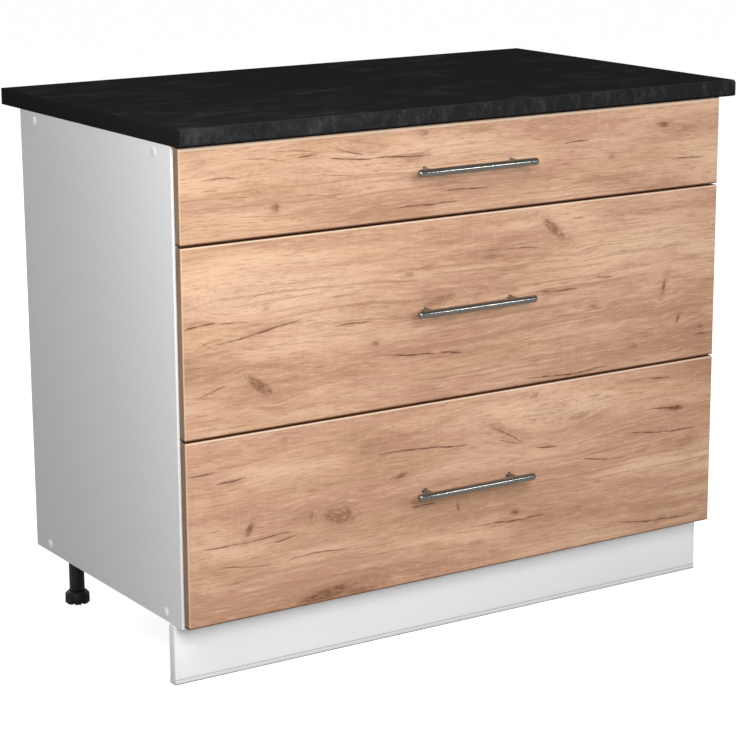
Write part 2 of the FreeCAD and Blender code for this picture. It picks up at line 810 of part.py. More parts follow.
def make_box(name, height, level, front_bottom, front_height):
    """Drawer box: two sides, inner front, back and a thin bottom in grooves."""
    screw_levels = ("box_screw_low", f"{height} - box_screw_high")
    side = board(f"{name}_side_left", ("board", "box_depth", height), (BOX_LEFT, BOX_START, level))
    cut_block(side, ("board - groove_depth", "0", "groove_height"),
              ("board", "box_depth", "groove_height + groove_width"))
    spots = [(along, up) for along in ("board / 2", "box_depth - board / 2") for up in screw_levels]
    countersink(side, spots)
    keep(side, f"{name}_side_left")
    keep(mirrored(side), f"{name}_side_right")

    start = f"{BOX_LEFT} + board"
    ends = [("board / 2", up) for up in screw_levels]
    size = (BETWEEN_SIDES, "board", height)
    inner = board(f"{name}_inner_front", size, (start, BOX_START, level))
    groove_cross_board(inner, "rear")
    drill_ends(inner, BETWEEN_SIDES, ends)
    handle_up = f"({front_bottom}) + ({front_height}) / 2 + handle_rise - ({level})"
    holes_up = [(f"{BETWEEN_SIDES} / 2 {way} handle_spacing / 2", handle_up) for way in ("-", "+")]
    drill(inner, "XZ_Plane", "0", holes_up, "machine_screw + 0.6", "board")
    keep(inner, f"{name}_inner_front")
    back = board(f"{name}_back", size, (start, f"{BOX_START} + box_depth - board", level))
    groove_cross_board(back, "front")
    drill_ends(back, BETWEEN_SIDES, ends)
    keep(back, f"{name}_back")

    reach = "(groove_depth - tray_play)"
    tray = (f"{BETWEEN_SIDES} + 2 * {reach}", f"box_depth - 2 * board + 2 * {reach}", "tray_thickness")
    lift = "(groove_height + (groove_width - tray_thickness) / 2)"
    at = (f"{start} - {reach}", f"{BOX_START} + board - {reach}", f"{level} + {lift}")
    keep(board(f"{name}_bottom", tray, at), f"{name}_bottom")

    screws = []
    for along, up in spots:
        at = (f"{BOX_LEFT} + 3 * screw_play", f"{BOX_START} + {along}", f"{level} + {up}")
        screws.append(copy_at(confirmat, at, TOWARDS_RIGHT))
    both_sides(screws, f"{name}_box_screws")


def make_drawer_rails(name, level):
    """The slides' middle and drawer members."""
    middle_at = ("board", "slide_setback + (slide_length - middle_length) / 2", level)
    both_sides([copy_at(middle_member, middle_at)], f"{name}_middle_rails")
    both_sides([copy_at(inner_member, ("board", "slide_setback", level))], f"{name}_inner_rails")


def make_wood_screws(name, height, level, slide_level):
    """Screws that hold the decorative front, and those that hold the drawer members."""
    screws = []
    for across in ("width / 2 - front_screw_outer", "width / 2 - front_screw_inner"):
        for up in ("front_screw_margin", f"{height} - front_screw_margin"):
            at = (across, f"{BOX_START} + board", f"{level} + {up}")
            screws.append(copy_at(wood_screw_front, at, TOWARDS_FRONT))
    web = f"{BOX_LEFT} - steel"
    for along in SLIDE_HOLES:
        at = (web, f"slide_setback + {along}", slide_level)
        screws.append(copy_at(wood_screw_short, at, TOWARDS_RIGHT))
    both_sides(screws, f"{name}_wood_screws")


def make_bumpers(fronts):
    """Soft dots on the carcass's front edges, two for each end of each front."""
    dot = turned("bumper", [
        ("0", "0"),
        ("bumper_diameter / 2", "0"),
        ("bumper_diameter / 2", "bumper_base"),
        ("bumper_diameter / 2 + bumper_base - bumper_thickness", "bumper_thickness"),
        ("0", "bumper_thickness"),
    ])
    turn = Rotation(Vector(0, 0, 1), Vector(0, -1, 0))
    dots = []
    for bottom, height in fronts:
        for up in ("bumper_margin", f"{height} - bumper_margin"):
            dots.append(copy_at(dot, ("board / 2", "0", f"{bottom} + {up}"), turn))
    both_sides(dots, "front_bumpers")


def make_drawers():
    """Three drawers from the bottom up, and what carries them in the carcass."""
    bottom = "front_foot"
    slide_levels = []
    fronts = []
    drawers = (
        ("lower", "front_tall", "box_tall", "rise_tall"),
        ("middle", "front_tall", "box_tall", "rise_tall"),
        ("upper", "front_low", "box_low", "rise_low"),
    )
    for name, front_height, box_height, rise in drawers:
        level = f"({bottom} + {rise})"
        slide_level = f"({level} + slide_level)"
        make_front(name, front_height, bottom)
        make_handle(name, f"{bottom} + {front_height} / 2 + handle_rise")
        make_box(name, box_height, level, bottom, front_height)
        make_drawer_rails(name, slide_level)
        make_wood_screws(name, box_height, level, slide_level)
        slide_levels.append(slide_level)
        fronts.append((bottom, front_height))
        bottom = f"({bottom} + {front_height} + front_gap)"
    make_cabinet_rails(slide_levels)
    make_bumpers(fronts)


# ---------------------------------------------------------------- build, check and write

def check_all():
    """Stop if anything failed to build, or if a cut took nothing away."""
    for item in doc.Objects:
        if "Invalid" in item.State or "Error" in item.State:
            raise RuntimeError(f"{item.Label} failed: {item.State}")
        if item.TypeId in ("PartDesign::Pocket", "PartDesign::Hole"):
            if item.Shape.Volume > item.BaseFeature.Shape.Volume - 0.1:
                raise RuntimeError(f"{item.Label} cuts nothing")
    for item in nodes:
        if item.Shape.isNull() or not item.Shape.isValid():
            raise RuntimeError(f"{item.Label} has no valid shape")


def write_parts():
    os.makedirs("parts", exist_ok=True)
    for item in nodes:
        item.Shape.exportStep(f"parts/{item.Label}.step")


make_side_panels()
make_cross_panels()
make_back_panel()
make_carcass_screws()
make_worktop()
make_leg_bodies()
for leg_name, leg_spot in LEG_SPOTS.items():
    make_foot(leg_name, leg_spot)
make_plinth()
make_drawers()
doc.recompute()
check_all()
write_parts()
whole = Part.makeCompound([item.Shape for item in nodes]).BoundBox
print(f"{len(nodes)} sub-parts, {whole.XLength:.1f} x {whole.YLength:.1f} x {whole.ZLength:.1f} mm")
print(f"lowest corner {whole.XMin:.2f} {whole.YMin:.2f} {whole.ZMin:.2f}")
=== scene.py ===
"""Kitchen base cabinet with three drawers: the looks around its solid model."""

import math

import bmesh
import bpy
from bpy.props import FloatProperty, FloatVectorProperty, IntProperty, PointerProperty
from bpy.types import Operator, Panel, PropertyGroup
from mathutils import Matrix, Vector


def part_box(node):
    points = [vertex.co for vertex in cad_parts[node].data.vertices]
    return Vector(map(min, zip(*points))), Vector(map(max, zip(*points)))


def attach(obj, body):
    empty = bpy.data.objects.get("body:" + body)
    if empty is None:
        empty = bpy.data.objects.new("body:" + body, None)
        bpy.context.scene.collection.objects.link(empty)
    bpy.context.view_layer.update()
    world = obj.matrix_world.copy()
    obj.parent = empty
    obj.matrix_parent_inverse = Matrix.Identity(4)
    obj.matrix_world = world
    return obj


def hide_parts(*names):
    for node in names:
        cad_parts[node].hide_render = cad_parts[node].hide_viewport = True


bl_info = {
    "name": "Kitchen base cabinet",
    "version": (1, 0, 0),
    "blender": (4, 5, 0),
    "location": "View3D > Sidebar > Cabinet",
    "description": "Dresses a kitchen base cabinet with three drawers, piece by piece",
    "category": "Object",
}

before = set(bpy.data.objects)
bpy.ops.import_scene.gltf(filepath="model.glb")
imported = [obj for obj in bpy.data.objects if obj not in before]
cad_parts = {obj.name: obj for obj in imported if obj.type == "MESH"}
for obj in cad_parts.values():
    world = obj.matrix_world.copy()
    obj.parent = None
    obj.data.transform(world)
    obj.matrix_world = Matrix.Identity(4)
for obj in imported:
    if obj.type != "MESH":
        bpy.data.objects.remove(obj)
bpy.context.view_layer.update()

DRAWERS = ("lower", "middle", "upper")
FEET = ("front_left", "front_right", "rear_left", "rear_right")


# ---------------------------------------------------------------- settings

def distance(name, description, default):
    """A length setting, in metres."""
    return FloatProperty(name=name, description=description, default=default, min=0.0, precision=4,
                         unit="LENGTH", subtype="DISTANCE")


def paint(name, description, default):
    """A colour setting, in linear red, green and blue."""
    return FloatVectorProperty(name=name, description=description, default=default, size=3,
                               min=0.0, max=1.0, subtype="COLOR")


class CabinetSizes(PropertyGroup):
    front_round: distance("Front rounding", "Radius of the fronts' outer edges", 0.002)
    board_ease: distance("Board easing", "Easing of the boards' edges", 0.0005)
    band: distance("Edge band", "Thickness of the boards' edge bands", 0.001)
    nose: distance("Worktop nose", "Radius of the worktop's upper front edge", 0.006)
    under_nose: distance("Worktop lip", "Radius of the worktop's lower front edge", 0.003)
    rod_end: distance("Rod end", "Rounding of the handle rod's ends", 0.0034)
    post: distance("Post", "Radius of the handle's posts", 0.004)
    post_spacing: distance("Post spacing", "Distance between the handle's posts", 0.160)
    cap_width: distance("Cap width", "Diameter of the screw caps' rims", 0.013)
    cap_dome: distance("Cap dome", "Radius of the caps' domes before they are flattened", 0.0070)
    cap_rise: distance("Cap rise", "How far the screw caps stand out of the side panels", 0.0019)
    plastic_round: distance("Plastic rounding", "Rounding of the legs', feet's and clips' edges", 0.0006)
    lip: distance("Slide lip", "Width of the turned-in lips of the slides", 0.0010)
    sheet: distance("Slide sheet", "Thickness of the slides' steel", 0.0012)
    outer_depth: distance("Outer depth", "Depth of the slides' outer channel", 0.010)
    middle_depth: distance("Middle depth", "Depth of the slides' middle channel", 0.007)
    inner_depth: distance("Inner depth", "Depth of the slides' inner channel", 0.0065)
    ball_pitch: distance("Ball pitch", "Distance from ball to ball", 0.010)
    seal_bead: distance("Seal bead", "Radius of the bead along the plinth seal's lips", 0.0006)
    balls: IntProperty(name="Balls", description="Balls in each row of a slide", default=11, min=2)


class CabinetColours(PropertyGroup):
    oak_light: paint("Oak, light", "Palest zones of the oak", (0.815, 0.545, 0.367))
    oak_middle: paint("Oak, middle", "Main tone of the oak", (0.620, 0.375, 0.230))
    oak_rosy: paint("Oak, rosy", "Pinkish zones of the oak", (0.595, 0.343, 0.228))
    oak_dark: paint("Oak, dark", "Darker, redder streaks of the oak", (0.345, 0.178, 0.098))
    oak_crack: paint("Oak, cracks", "Cracks and the darkest pores", (0.105, 0.028, 0.008))
    oak_knot: paint("Oak, knots", "Hearts of the knots", (0.135, 0.042, 0.013))
    # Painted highlight along the fronts' rounded edges, where they catch the light; partly the foil
    # lightened over the edge.
    oak_arris: paint("Oak, arris", "Pale line along the fronts' rounded edges", (0.88, 0.70, 0.53))
    # How the edging darkens the oak at the ends and elsewhere: partly the edging's darker tone, partly
    # painted shade on the ends and in the gaps between the fronts.
    oak_end: paint("Oak, ends", "How the edging darkens the oak at the ends", (0.52, 0.47, 0.44))
    oak_edging: paint("Oak, edging", "How the edging darkens the oak", (0.34, 0.18, 0.08))
    white: paint("White board", "White melamine", (0.85, 0.85, 0.855))
    # Lighter than the board faces: partly the edging's own white, partly painted light on the edges.
    white_band: paint("White edging", "Edge bands of the white boards", (0.97, 0.97, 0.97))
    fibre: paint("Raw fibre", "Unpainted hardboard and chipboard", (0.30, 0.185, 0.10))
    slate: paint("Slate, dark", "Main tone of the worktop", (0.0180, 0.0178, 0.0186))
    slate_vein: paint("Slate, veins", "Cloudy streaks of the worktop", (0.060, 0.061, 0.066))
    steel: paint("Steel", "Satin steel of the handles", (0.33, 0.32, 0.30))
    zinc: paint("Zinc", "Zinc-plated slides", (0.60, 0.62, 0.64))
    black: paint("Black plastic", "Legs and levelling feet", (0.012, 0.012, 0.013))


class CabinetStage(PropertyGroup):
    camera_place: FloatVectorProperty(
        name="Camera place", description="Where the camera stands", size=3, unit="LENGTH",
        subtype="TRANSLATION", default=(-2.0928, -3.2476, 1.3060))
    yaw: FloatProperty(name="Yaw", description="Turn of the view towards the right",
                       default=math.radians(32.616), unit="ROTATION", subtype="ANGLE")
    pitch: FloatProperty(name="Pitch", description="Tilt of the view downwards",
                         default=math.radians(13.589), unit="ROTATION", subtype="ANGLE")
    roll: FloatProperty(name="Roll", description="Turn of the view about its own line",
                        default=math.radians(-0.370), unit="ROTATION", subtype="ANGLE")
    lens: FloatProperty(name="Lens", description="Focal length", default=117.8, subtype="DISTANCE_CAMERA",
                        unit="CAMERA")
    daylight: FloatProperty(name="Daylight", description="Strength of the even light all around",
                            default=0.24, min=0.0)
    key: FloatProperty(name="Key light", description="Power of the large soft light in front, in watts",
                       default=31.0, min=0.0)
    fill: FloatProperty(name="Fill light", description="Power of the soft light on the left, in watts",
                        default=10.5, min=0.0)
    strip: FloatProperty(name="Strip light", description="Power of the narrow light on the right, in watts",
                         default=24.0, min=0.0)
    rear: FloatProperty(name="Rear light", description="Power of the soft light behind, in watts",
                        default=90.0, min=0.0)
    side: FloatProperty(name="Side light", description="Power of the soft light far right, in watts",
                        default=60.0, min=0.0)


# ---------------------------------------------------------------- modelling

def select_only(piece):
    """Deselect everything but one object, and make it the active one."""
    bpy.ops.object.select_all(action="DESELECT")
    bpy.context.view_layer.objects.active = piece
    piece.select_set(True)


def settle(name):
    """Name the new active object and put its place, turn and size into its mesh."""
    piece = bpy.context.object
    piece.name = name
    piece.data.name = name
    select_only(piece)
    bpy.ops.object.transform_apply(location=True, rotation=True, scale=True)
    return piece


def add_block(name, low, high):
    """A block between two corners."""
    low, high = Vector(low), Vector(high)
    bpy.ops.mesh.primitive_cube_add(size=1.0, location=(low + high) / 2)
    bpy.context.object.scale = high - low
    return settle(name)


def add_rod(name, centre, radius, length, axis="Z", sides=48):
    """A closed round rod about a centre, along X, Y or Z."""
    turn = {"X": (0, math.pi / 2, 0), "Y": (math.pi / 2, 0, 0), "Z": (0, 0, 0)}[axis]
    bpy.ops.mesh.primitive_cylinder_add(vertices=sides, radius=radius, depth=length,
                                        location=centre, rotation=turn)
    return settle(name)


def pick(piece, kind, wanted):
    """In edit mode, select only the verts, edges or faces that pass a test."""
    bpy.ops.mesh.select_mode(type={"verts": "VERT", "edges": "EDGE", "faces": "FACE"}[kind])
    bpy.ops.mesh.select_all(action="DESELECT")
    mesh = bmesh.from_edit_mesh(piece.data)
    for item in getattr(mesh, kind):
        if wanted(item):
            item.select_set(True)
    mesh.select_flush_mode()
    bmesh.update_edit_mesh(piece.data)


def edit(piece, kind, wanted, *steps):
    """Run edit-mode steps on the part of a piece that passes a test."""
    select_only(piece)
    bpy.ops.object.mode_set(mode="EDIT")
    pick(piece, kind, wanted)
    for step in steps:
        step()
    bpy.ops.object.mode_set(mode="OBJECT")
    return piece


def bevel(piece, wanted, size, segments=3):
    """Round the edges that pass a test."""
    return edit(piece, "edges", wanted,
                lambda: bpy.ops.mesh.bevel(offset=size, segments=segments, profile=0.5))


def ends_at(edge, axis, value, slack=1e-5):
    """Whether both ends of an edge lie on a plane."""
    return all(abs(vert.co[axis] - value) < slack for vert in edge.verts)


def runs_along(edge, axis):
    """Whether an edge is parallel to an axis."""
    way = (edge.verts[1].co - edge.verts[0].co).normalized()
    return abs(way[axis]) > 0.999


def smooth(piece, angle=math.radians(35)):
    """Shade the piece smooth, apart from its sharp edges."""
    select_only(piece)
    bpy.ops.object.shade_smooth_by_angle(angle=angle)
    return piece


def join(pieces, name):
    """Join pieces into the first of them."""
    bpy.ops.object.select_all(action="DESELECT")
    for piece in pieces:
        piece.select_set(True)
    bpy.context.view_layer.objects.active = pieces[0]
    bpy.ops.object.join()
    return settle(name)


def copy_of(source, name):
    """A copy of an object, with its own mesh, in the scene."""
    piece = source.copy()
    piece.data = source.data.copy()
    piece.name = name
    piece.data.name = name
    bpy.context.scene.collection.objects.link(piece)
    return piece


def merged_copy(node, name):
    """A copy of a solid of the frame with its vertices merged and its flat faces whole again."""
    piece = copy_of(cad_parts[node], name)
    piece.parent = None
    for key in list(piece.keys()):
        del piece[key]
    select_only(piece)
    bpy.ops.mesh.customdata_custom_splitnormals_clear()
    return edit(piece, "verts", lambda vert: True,
                lambda: bpy.ops.mesh.remove_doubles(threshold=0.00001),
                lambda: bpy.ops.mesh.dissolve_limited(angle_limit=math.radians(0.5)))


def finish_with(piece, kind, **settings):
    """Add a modifier to a piece and apply it."""
    select_only(piece)
    modifier = piece.modifiers.new(kind.title(), kind)
    for name, value in settings.items():
        setattr(modifier, name, value)
    bpy.ops.object.modifier_apply(modifier=modifier.name)
    return piece


def round_off(piece, size, segments=2):
    """Round every sharp edge of a moulded piece."""
    finish_with(piece, "BEVEL", width=size, segments=segments, limit_method="ANGLE",
                angle_limit=math.radians(40), use_clamp_overlap=True)
    return smooth(piece)


def copy_moved(source, name, offset):
    """A copy, moved by an offset that goes into its mesh."""
    piece = copy_of(source, name)
    piece.data.transform(Matrix.Translation(offset))
    return piece


def copy_mirrored(source, name, middle):
    """A copy, mirrored left to right about a place on X."""
    piece = copy_moved(source, name, (-middle, 0, 0))
    piece.data.transform(Matrix.Scale(-1, 4, (1, 0, 0)))
    piece.data.transform(Matrix.Translation((middle, 0, 0)))
    piece.data.flip_normals()
    return piece


def cover(piece, *finishes):
    """Give a piece its finishes, in the order of its faces' numbers."""
    piece.data.materials.clear()
    for name in finishes:
        piece.data.materials.append(bpy.data.materials[name])
    return piece


def second_finish(piece, wanted):
    """Give the second finish to the faces that pass a test."""
    for face in piece.data.polygons:
        if wanted(face):
            face.material_index = 1
    return piece


def stand_for(piece, body, slot, *nodes):
    """Let a finished piece ride on its body and stand for solids of the frame."""
    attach(piece, body)
    if nodes:
        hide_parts(*nodes)
    return piece


# ---------------------------------------------------------------- shader node helpers

def feed(socket, value):
    """Link a socket to another one, or set its value."""
    if isinstance(value, bpy.types.NodeSocket):
        socket.id_data.links.new(value, socket)
    else:
        socket.default_value = value


def tree_of(*values):
    """The node tree of the first socket among some values."""
    return next(value.id_data for value in values if isinstance(value, bpy.types.NodeSocket))


def add_node(tree, kind, inputs=None, **settings):
    """A new node with its settings and its inputs."""
    made = tree.nodes.new(kind)
    for name, value in settings.items():
        setattr(made, name, value)
    for name, value in (inputs or {}).items():
        feed(made.inputs[name], value)
    return made


def calc(operation, *values, clamp=False):
    """The result of a Math node."""
    made = add_node(tree_of(*values), "ShaderNodeMath", operation=operation, use_clamp=clamp)
    for socket, value in zip(made.inputs, values):
        feed(socket, value)
    return made.outputs[0]


def plus(first, second, clamp=False):
    """Two values added."""
    return calc("ADD", first, second, clamp=clamp)


def minus(first, second, clamp=False):
    """The second value taken from the first."""
    return calc("SUBTRACT", first, second, clamp=clamp)


def times(first, second, clamp=False):
    """Two values multiplied."""
    return calc("MULTIPLY", first, second, clamp=clamp)


def times_plus(first, second, third):
    """Two values multiplied, and a third one added."""
    return calc("MULTIPLY_ADD", first, second, third)


def ease(value, low, high, start=0.0, end=1.0):
    """A smooth step of a value from low to high."""
    made = add_node(tree_of(value), "ShaderNodeMapRange", interpolation_type="SMOOTHSTEP")
    for name, number in (("Value", value), ("From Min", low), ("From Max", high),
                         ("To Min", start), ("To Max", end)):
        feed(made.inputs[name], number)
    return made.outputs[0]


def split(vector):
    """The X, Y and Z of a vector."""
    return add_node(vector.id_data, "ShaderNodeSeparateXYZ", {"Vector": vector}).outputs


def vector_of(across, along, up=0.0):
    """A vector from three values."""
    parts = {"X": across, "Y": along, "Z": up}
    return add_node(tree_of(across, along), "ShaderNodeCombineXYZ", parts).outputs[0]


def stretched(vector, scale, offset=(0.0, 0.0, 0.0)):
    """A vector moved by an offset and scaled per axis."""
    settings = {"Vector": vector, "Scale": scale, "Location": offset}
    return add_node(vector.id_data, "ShaderNodeMapping", settings).outputs[0]


def noise(vector, scale=1.0, detail=2.0, roughness=0.5):
    """Soft random values from 0 to 1."""
    settings = {"Vector": vector, "Scale": scale, "Detail": detail, "Roughness": roughness}
    return add_node(vector.id_data, "ShaderNodeTexNoise", settings).outputs[0]


def streaks(vector, scale, detail=2.0, roughness=0.5, offset=(0.0, 0.0, 0.0)):
    """Soft random values with a scale for each axis, which draws them out."""
    return noise(stretched(vector, scale, offset), 1.0, detail, roughness)


def blend(factor, first, second, kind="MIX"):
    """Mix two colours."""
    made = add_node(factor.id_data, "ShaderNodeMix", data_type="RGBA", blend_type=kind)
    for number, value in ((0, factor), (6, first), (7, second)):
        feed(made.inputs[number], value)
    return made.outputs[2]


def rgba(colour, scale=1.0):
    """A colour with its alpha, brightened or darkened by a scale."""
    return (*(channel * scale for channel in colour), 1.0)


def colour_of(setting, scale=1.0):
    """A colour of the settings, brightened or darkened by a scale."""
    return rgba(getattr(bpy.context.scene.cabinet_colours, setting), scale)


def start_group(name, inputs, outputs):
    """A new node group: its input sockets and its output sockets, by name. An input is a value
    unless its name is Vector or Stretch, and every output is a value."""
    tree = bpy.data.node_groups.new(name, "ShaderNodeTree")
    for label in inputs:
        kind = "NodeSocketVector" if label in ("Vector", "Stretch") else "NodeSocketFloat"
        tree.interface.new_socket(name=label, in_out="INPUT", socket_type=kind)
    for label in outputs:
        tree.interface.new_socket(name=label, in_out="OUTPUT", socket_type="NodeSocketFloat")
    return tree.nodes.new("NodeGroupInput").outputs, tree.nodes.new("NodeGroupOutput").inputs


def place_group(name, **inputs):
    """Place a node group; inputs are named with underscores for spaces."""
    tree = tree_of(*inputs.values())
    made = add_node(tree, "ShaderNodeGroup", node_tree=bpy.data.node_groups[name])
    for label, value in inputs.items():
        feed(made.inputs[label.replace("_", " ")], value)
    return made.outputs


def new_material(name):
    """A material: its Principled shader and the object's own coordinates."""
    material = bpy.data.materials.new(name)
    material.use_nodes = True
    tree = material.node_tree
    return tree.nodes["Principled BSDF"], add_node(tree, "ShaderNodeTexCoord").outputs["Object"]


def set_shader(shader, **values):
    """Set or link the shader's sockets, named with underscores for spaces."""
    for label, value in values.items():
        feed(shader.inputs[label.replace("_", " ")], value)


def raise_surface(shader, height, depth):
    """Feed a height through a Bump node; depth is the relief of a height of 1, in metres."""
    relief = add_node(shader.id_data, "ShaderNodeBump", {"Height": height, "Distance": depth})
    feed(shader.inputs["Normal"], relief.outputs[0])


# ---------------------------------------------------------------- shared effects

LEAST = 1e-5  # keeps a division by a width of zero apart


def make_pearl_group():
    """Fine even pebbling of pressed laminate and moulded plastic."""
    given, out = start_group("pearl", ["Vector", "Grain Size"], ["Height", "Shade"])
    scale = calc("DIVIDE", 1.0, given["Grain Size"])
    fine = noise(given["Vector"], scale, 3.0, 0.55)
    broad = noise(given["Vector"], times(scale, 0.22))
    feed(out["Height"], times_plus(broad, 0.5, fine))
    feed(out["Shade"], ease(fine, 0.35, 0.65))


def make_smudge_group():
    """Soft marks of handling: slow, uneven changes of gloss and tone."""
    given, out = start_group("smudges", ["Vector", "Size"], ["Mask"])
    scale = calc("DIVIDE", 1.0, given["Size"])
    slow = noise(given["Vector"], scale, 4.0, 0.6)
    wiped = noise(stretched(given["Vector"], (1.0, 1.0, 3.0)), times(scale, 2.3), 3.0)
    feed(out["Mask"], ease(times_plus(wiped, 0.4, slow), 0.45, 0.95))


def make_brush_group():
    """Fine parallel lines of brushed or rolled metal."""
    given, out = start_group("brushing", ["Vector", "Stretch"], ["Height", "Shade"])
    lines = streaks(given["Vector"], given["Stretch"], 4.0, 0.65)
    feed(out["Height"], lines)
    feed(out["Shade"], ease(lines, 0.3, 0.7))


def make_knot_group():
    """A knot: how far it pushes the grain aside, its dark strokes, the shade and rings around it."""
    given, out = start_group("knot", ["Vector", "Across", "Up", "Half Length", "Half Thickness",
                                      "Tilt", "Ragged", "Wander"],
                             ["Push", "Heart", "Shade", "Rings"])
    across, up, _ = split(given["Vector"])
    from_left = minus(across, given["Across"])
    from_below = minus(up, given["Up"])
    cosine = calc("COSINE", given["Tilt"])
    sine = calc("SINE", given["Tilt"])
    along = times_plus(from_below, sine, times(from_left, cosine))
    away = minus(times(from_below, cosine), times(from_left, sine))
    reach = calc("DIVIDE", along, given["Half Length"])
    rise = calc("DIVIDE", away, given["Half Thickness"])
    square = times_plus(reach, reach, times(rise, rise))
    falloff = calc("DIVIDE", 1.0, times_plus(square, 0.34, 1.0))
    feed(out["Push"], times(times(from_below, 0.42), falloff))
    bent = times_plus(given["Ragged"], 0.010, away)
    lines = noise(vector_of(times(along, 60.0), times(bent, 420.0)), 1.0, 1.0, 0.6)
    edge = times_plus(given["Ragged"], 1.3, minus(square, 0.65))
    zone = ease(edge, 0.15, 1.35, 1.0, 0.0)
    feed(out["Heart"], times(zone, ease(lines, 0.38, 0.56, 0.22, 1.0)))
    feed(out["Shade"], calc("POWER", falloff, 2.2))
    count = times_plus(given["Half Thickness"], 1000.0, 7.0)
    phase = times_plus(calc("POWER", square, 0.45), count, times(given["Wander"], 1500.0))
    wave = calc("SINE", times_plus(given["Ragged"], 7.0, phase))
    around = times(ease(falloff, 0.26, 0.60), minus(1.0, zone))
    feed(out["Rings"], times(ease(wave, 0.25, 1.0), around))


def make_crack_group():
    """A thin dark crack along the grain, tapered, wandering and broken, with a faint halo."""
    given, out = start_group("crack", ["Vector", "Wander", "Breaks", "Across", "Up", "Half Length",
                                       "Slope", "Bow", "Thickness"], ["Mask"])
    across, up, _ = split(given["Vector"])
    along = calc("DIVIDE", minus(across, given["Across"]), given["Half Length"])
    square = times(along, along)
    line = times_plus(along, given["Slope"], given["Up"])
    line = times_plus(square, given["Bow"], line)
    gap = calc("ABSOLUTE", minus(up, plus(line, given["Wander"])))
    taper = minus(1.0, square, clamp=True)
    width = times(times(taper, given["Breaks"]), given["Thickness"])
    core = minus(1.0, calc("DIVIDE", gap, plus(width, LEAST)), clamp=True)
    halo = minus(1.0, calc("DIVIDE", gap, times_plus(width, 3.5, LEAST)), clamp=True)
    both = times_plus(halo, 0.22, times(core, given["Breaks"]))
    feed(out["Mask"], times(both, ease(taper, 0.0, 0.4)))


def make_oak_group():
    """Oak's grain along lines that bend around the knots: tones, streaks, fibres and pores."""
    given, out = start_group("oak grain", ["Vector", "Push"], ["Tone", "Warmth", "Bands", "Streaks",
                                                               "Fibre", "Pores", "Cross", "Lines"])
    across, up, depth = split(given["Vector"])
    slow = streaks(given["Vector"], (1.6, 4.0, 1.0), 1.0)
    ripple = streaks(given["Vector"], (7.0, 14.0, 1.0))
    grain = minus(up, given["Push"])
    grain = times_plus(minus(slow, 0.5), 0.034, grain)
    grain = times_plus(minus(ripple, 0.5), 0.006, grain)
    line = vector_of(across, grain, depth)
    feed(out["Tone"], streaks(line, (2.2, 13.0, 1.0), 3.0, 0.55))
    feed(out["Warmth"], streaks(line, (3.1, 23.0, 1.0), offset=(7.0, 3.0, 2.0)))
    feed(out["Bands"], streaks(line, (7.5, 85.0, 1.0), 5.0, 0.66))
    feed(out["Streaks"], streaks(line, (34.0, 330.0, 1.0), 4.0, 0.68))
    feed(out["Fibre"], streaks(line, (110.0, 1200.0, 1.0), 2.0, 0.6))
    drawn = streaks(line, (3.4, 250.0, 1.0), 3.0, 0.6, (2.0, 8.0, 1.0))
    fields = streaks(line, (2.6, 10.0, 1.0), 1.0, offset=(4.0, 4.0, 4.0))
    feed(out["Lines"], times(ease(drawn, 0.50, 0.66), ease(fields, 0.44, 0.60)))
    dashes = streaks(line, (30.0, 430.0, 1.0), 3.0, 0.55, (1.0, 5.0, 4.0))
    where = streaks(line, (6.0, 48.0, 1.0), offset=(3.0, 1.0, 0.0))
    feed(out["Pores"], times(ease(dashes, 0.56, 0.70), ease(where, 0.46, 0.62)))
    marks = streaks(given["Vector"], (230.0, 11.0, 1.0))
    zone = streaks(given["Vector"], (5.0, 9.0, 1.0), 1.0, offset=(9.0, 4.0, 0.0))
    feed(out["Cross"], times(ease(marks, 0.45, 0.68), ease(zone, 0.45, 0.65)))


def make_groups():
    """Build each shared effect once."""
    for build in (make_pearl_group, make_smudge_group, make_brush_group, make_knot_group,
                  make_crack_group, make_oak_group):
        build()


# ---------------------------------------------------------------- finishes

# Knots of each front: place from its lower left corner, half length and half thickness in
# millimetres, tilt of the length in degrees and darkness.
KNOTS = {
    "lower": (
        (104, 137, 13, 5, 62, 0.85), (258, 130, 27, 13, -14, 0.62), (212, 141, 9, 4, 80, 0.45),
        (277, 138, 11, 4, -60, 0.55), (373, 177, 13, 4, 10, 0.85), (318, 232, 26, 9, 30, 0.22),
        (236, 12, 52, 10, 7, 0.80), (300, 6, 30, 6, 0, 0.55), (166, 264, 8, 6, 0, 0.25),
        (562, 222, 30, 7, -24, 0.34), (628, 269, 9, 6, 0, 0.42), (664, 236, 44, 20, 8, 0.12),
        (718, 222, 24, 6, 6, 0.35), (918, 206, 19, 5, -4, 0.85), (947, 148, 24, 10, 14, 0.28),
        (590, 82, 10, 4, -8, 0.80), (480, 110, 9, 3, -72, 0.60), (520, 43, 12, 4, 0, 0.36),
    ),
    "middle": (
        (661, 246, 27, 8, -40, 0.80), (126, 67, 28, 9, -38, 0.75), (886, 127, 14, 4, 74, 0.80),
        (917, 70, 10, 4, 62, 0.80), (966, 51, 7, 4, 0, 0.60), (328, 104, 7, 5, 0, 0.60),
        (742, 112, 10, 4, -20, 0.42), (389, 204, 10, 5, -12, 0.42), (540, 214, 11, 4, 0, 0.40),
        (826, 36, 10, 5, 0, 0.42), (138, 182, 8, 5, 0, 0.32), (85, 206, 36, 16, 0, 0.10),
        (445, 157, 32, 7, 10, 0.50), (322, 158, 70, 15, -4, 0.16),
    ),
    "upper": (
        (157, 41, 8, 7, 40, 0.70), (205, 76, 60, 26, -4, 0.14), (877, 105, 15, 5, -4, 0.85),
        (417, 129, 11, 5, 0, 0.50), (773, 62, 9, 5, 0, 0.42), (318, 118, 46, 8, -12, 0.20),
        (668, 128, 40, 10, 0, 0.12),
    ),
}

